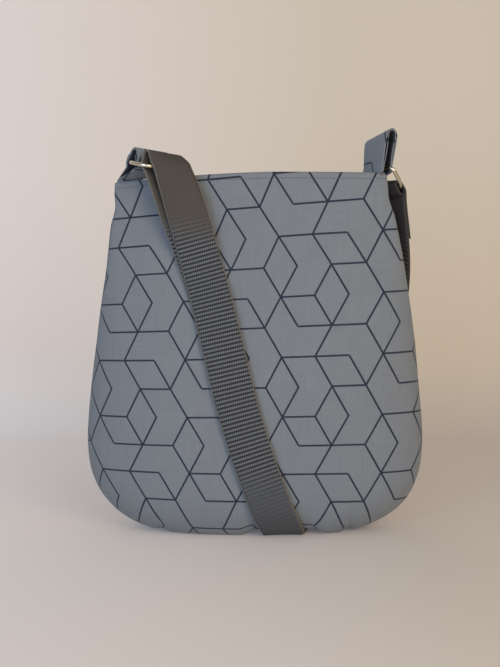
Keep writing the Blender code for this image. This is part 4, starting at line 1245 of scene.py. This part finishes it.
def cut_plate(bm, lines_x, lines_y, openings, thickness, edge_round, matrix):
    """A flat plate on a grid of lines, with openings in some of its cells and all of its edges rounded."""
    cells_x, cells_y = len(lines_x) - 1, len(lines_y) - 1
    bmesh.ops.create_grid(bm, x_segments=cells_x, y_segments=cells_y, size=1)
    cut = []
    for face in bm.faces:
        middle = face.calc_center_median()
        if (int((middle.x + 1) / 2 * cells_x), int((middle.y + 1) / 2 * cells_y)) in openings:
            cut.append(face)
    bmesh.ops.delete(bm, geom=cut, context="FACES")
    for vert in bm.verts:
        column, row = round((vert.co.x + 1) / 2 * cells_x), round((vert.co.y + 1) / 2 * cells_y)
        vert.co = Vector((lines_x[column], lines_y[row], -thickness / 2))
    made = bmesh.ops.extrude_face_region(bm, geom=bm.faces[:], use_keep_orig=True)["geom"]
    raised = [part for part in made if isinstance(part, bmesh.types.BMVert)]
    bmesh.ops.translate(bm, verts=raised, vec=(0, 0, thickness))
    bmesh.ops.recalc_face_normals(bm, faces=bm.faces)
    bmesh.ops.dissolve_limit(bm, angle_limit=0.01, verts=bm.verts, edges=bm.edges)
    sharp = [edge for edge in bm.edges if edge.calc_face_angle(0) > 0.5]
    bmesh.ops.bevel(
        bm, geom=sharp, offset=edge_round, segments=3, affect="EDGES", profile=0.5, material=-1, clamp_overlap=True
    )
    bmesh.ops.triangulate(bm, faces=[face for face in bm.faces if len(face.verts) > 4])
    bmesh.ops.transform(bm, matrix=matrix, verts=bm.verts)


bm = bmesh.new()
cut_plate(
    bm, grid_x, grid_y, {(1, 1), (1, 3)}, SLIDER_THICK, SLIDER_ROUND,
    slider_place @ Matrix.Translation((0, 0, slider_middle)),
)
piece = finished("strap_slider_frame", bm, nickel)
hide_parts("strap_slider")
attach(piece, "strap_slider")


# Zip: two woven polyester tapes, sewn in a little below the mouth, with a row of stamped aluminium teeth clamped
# along each tape's inner edge and a stop at each end. The tape is matt and dark blue with a fine zigzag, and the
# teeth are satin grey and slightly grainy.
ZIP_LEVEL = 261 * MM
TAPE_HALF_LENGTH = 83.2 * MM
TAPE_INNER = 2.6 * MM
TAPE_LEAST_WIDTH = 1.2 * MM
TAPE_FROM_FACE = 4.2 * MM
TAPE_STEPS = 60
TAPE_THICK = 0.5 * MM
TOOTH_PITCH = 1.6 * MM
TOOTH_SIZE = Vector((0.85, 1.75, 1.8)) * MM
TOOTH_ROUND = 0.2 * MM
TOOTH_MIDDLE = 1.43 * MM
TOOTH_ROW_HALF = 76.5 * MM
HERRINGBONE = 1.2 * MM

tape_cloth, add, shader = material("woven_polyester_tape", 0x3A4256, 0.85)
cloth = add("UVMap", uv_map="cloth")
place = add("SeparateXYZ", (cloth,))
away = add("ABSOLUTE", (place,))
slanted = add("ADD", (place.outputs[1], away))
turns = add("MULTIPLY", (slanted, 2 * math.pi / HERRINGBONE))
twill = add("SINE", (turns,))
shade = add("MapRange", (twill, -1, 1, 0, 1))
add("Mix", {"Factor": shade, 6: 0x303749, 7: 0x454E64}, shader.inputs["Base Color"])
add("Bump", {"Strength": 0.4, "Distance": 0.12 * MM, "Height": twill}, shader.inputs["Normal"])

aluminium, add, shader = material("stamped_aluminium", 0xA9A294, 0.38, Metallic=1.0)
grain = add("TexNoise", {"Vector": add("TexCoord").outputs["Object"], "Scale": 1400.0, "Detail": 2.0})
add("MapRange", (grain, 0.3, 0.7, 0.30, 0.48), shader.inputs["Roughness"])

for zip_side, side_name in SIDES:
    rows = []
    for i in range(TAPE_STEPS + 1):
        x = TAPE_HALF_LENGTH * (2 * i / TAPE_STEPS - 1)
        wall = abs(face_point(x, ZIP_LEVEL, zip_side).y - seam_y) - TAPE_FROM_FACE
        outer = max(TAPE_INNER + TAPE_LEAST_WIDTH, wall)
        middle = seam_y + zip_side * (TAPE_INNER + outer) / 2
        rows.append((Vector((x, middle, ZIP_LEVEL)), Vector((0, (outer - TAPE_INNER) / 2, 0))))
    piece = band(f"zip_woven_tape_{side_name}", rows, 8, TAPE_THICK, tape_cloth)
    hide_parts(f"zip_tape_{side_name}")
    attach(piece, "bag")

    bm = bmesh.new()
    for i in range(int(2 * TOOTH_ROW_HALF / TOOTH_PITCH)):
        x = -TOOTH_ROW_HALF + TOOTH_PITCH * (i + 0.5 + zip_side * 0.25)
        placed = Matrix.Translation((x, seam_y + zip_side * TOOTH_MIDDLE, ZIP_LEVEL))
        bmesh.ops.create_cube(bm, size=1, matrix=placed @ Matrix.Diagonal((*TOOTH_SIZE, 1)))
    bmesh.ops.bevel(bm, geom=bm.edges[:], offset=TOOTH_ROUND, segments=1, affect="EDGES", profile=0.5, material=-1)
    bmesh.ops.recalc_face_normals(bm, faces=bm.faces)
    piece = finished(f"zip_teeth_row_{side_name}", bm, aluminium)
    piece.data.polygons.foreach_set("use_smooth", [False] * len(piece.data.polygons))
    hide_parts(f"zip_teeth_{side_name}")
    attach(piece, "bag")
for name in ("zip_top_stop_front", "zip_top_stop_back", "zip_bottom_stop"):
    frame["nodes"][name].material_slots[0].material = aluminium


# Zip pull: a flat stamped zinc plate with an eye at its hinged end, hung on the slider's bail. Plate and slider are
# nickel plated and polished like the rings.
PULL_LENGTH = 21 * MM
PULL_WIDTH = 6 * MM
PULL_THICK = 1.1 * MM
PULL_EYE_WIDTH = 2.6 * MM
PULL_EYE_LENGTH = 4.5 * MM
PULL_ROUND = 0.25 * MM
pull_joint = next(j for j in frame["joints"] if j["name"] == "zip_pull_turn")
half = PULL_THICK / 2
pull_x = (-half, half, PULL_EYE_LENGTH, PULL_LENGTH)
pull_y = (-PULL_WIDTH / 2, -PULL_EYE_WIDTH / 2, PULL_EYE_WIDTH / 2, PULL_WIDTH / 2)
bm = bmesh.new()
cut_plate(bm, pull_x, pull_y, {(1, 1)}, PULL_THICK, PULL_ROUND, Matrix.Translation(Vector(pull_joint["pos_m"])))
piece = finished("zip_pull_plate", bm, nickel)
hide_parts("zip_pull")
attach(piece, "zip_pull")
frame["nodes"]["zip_slider"].material_slots[0].material = nickel
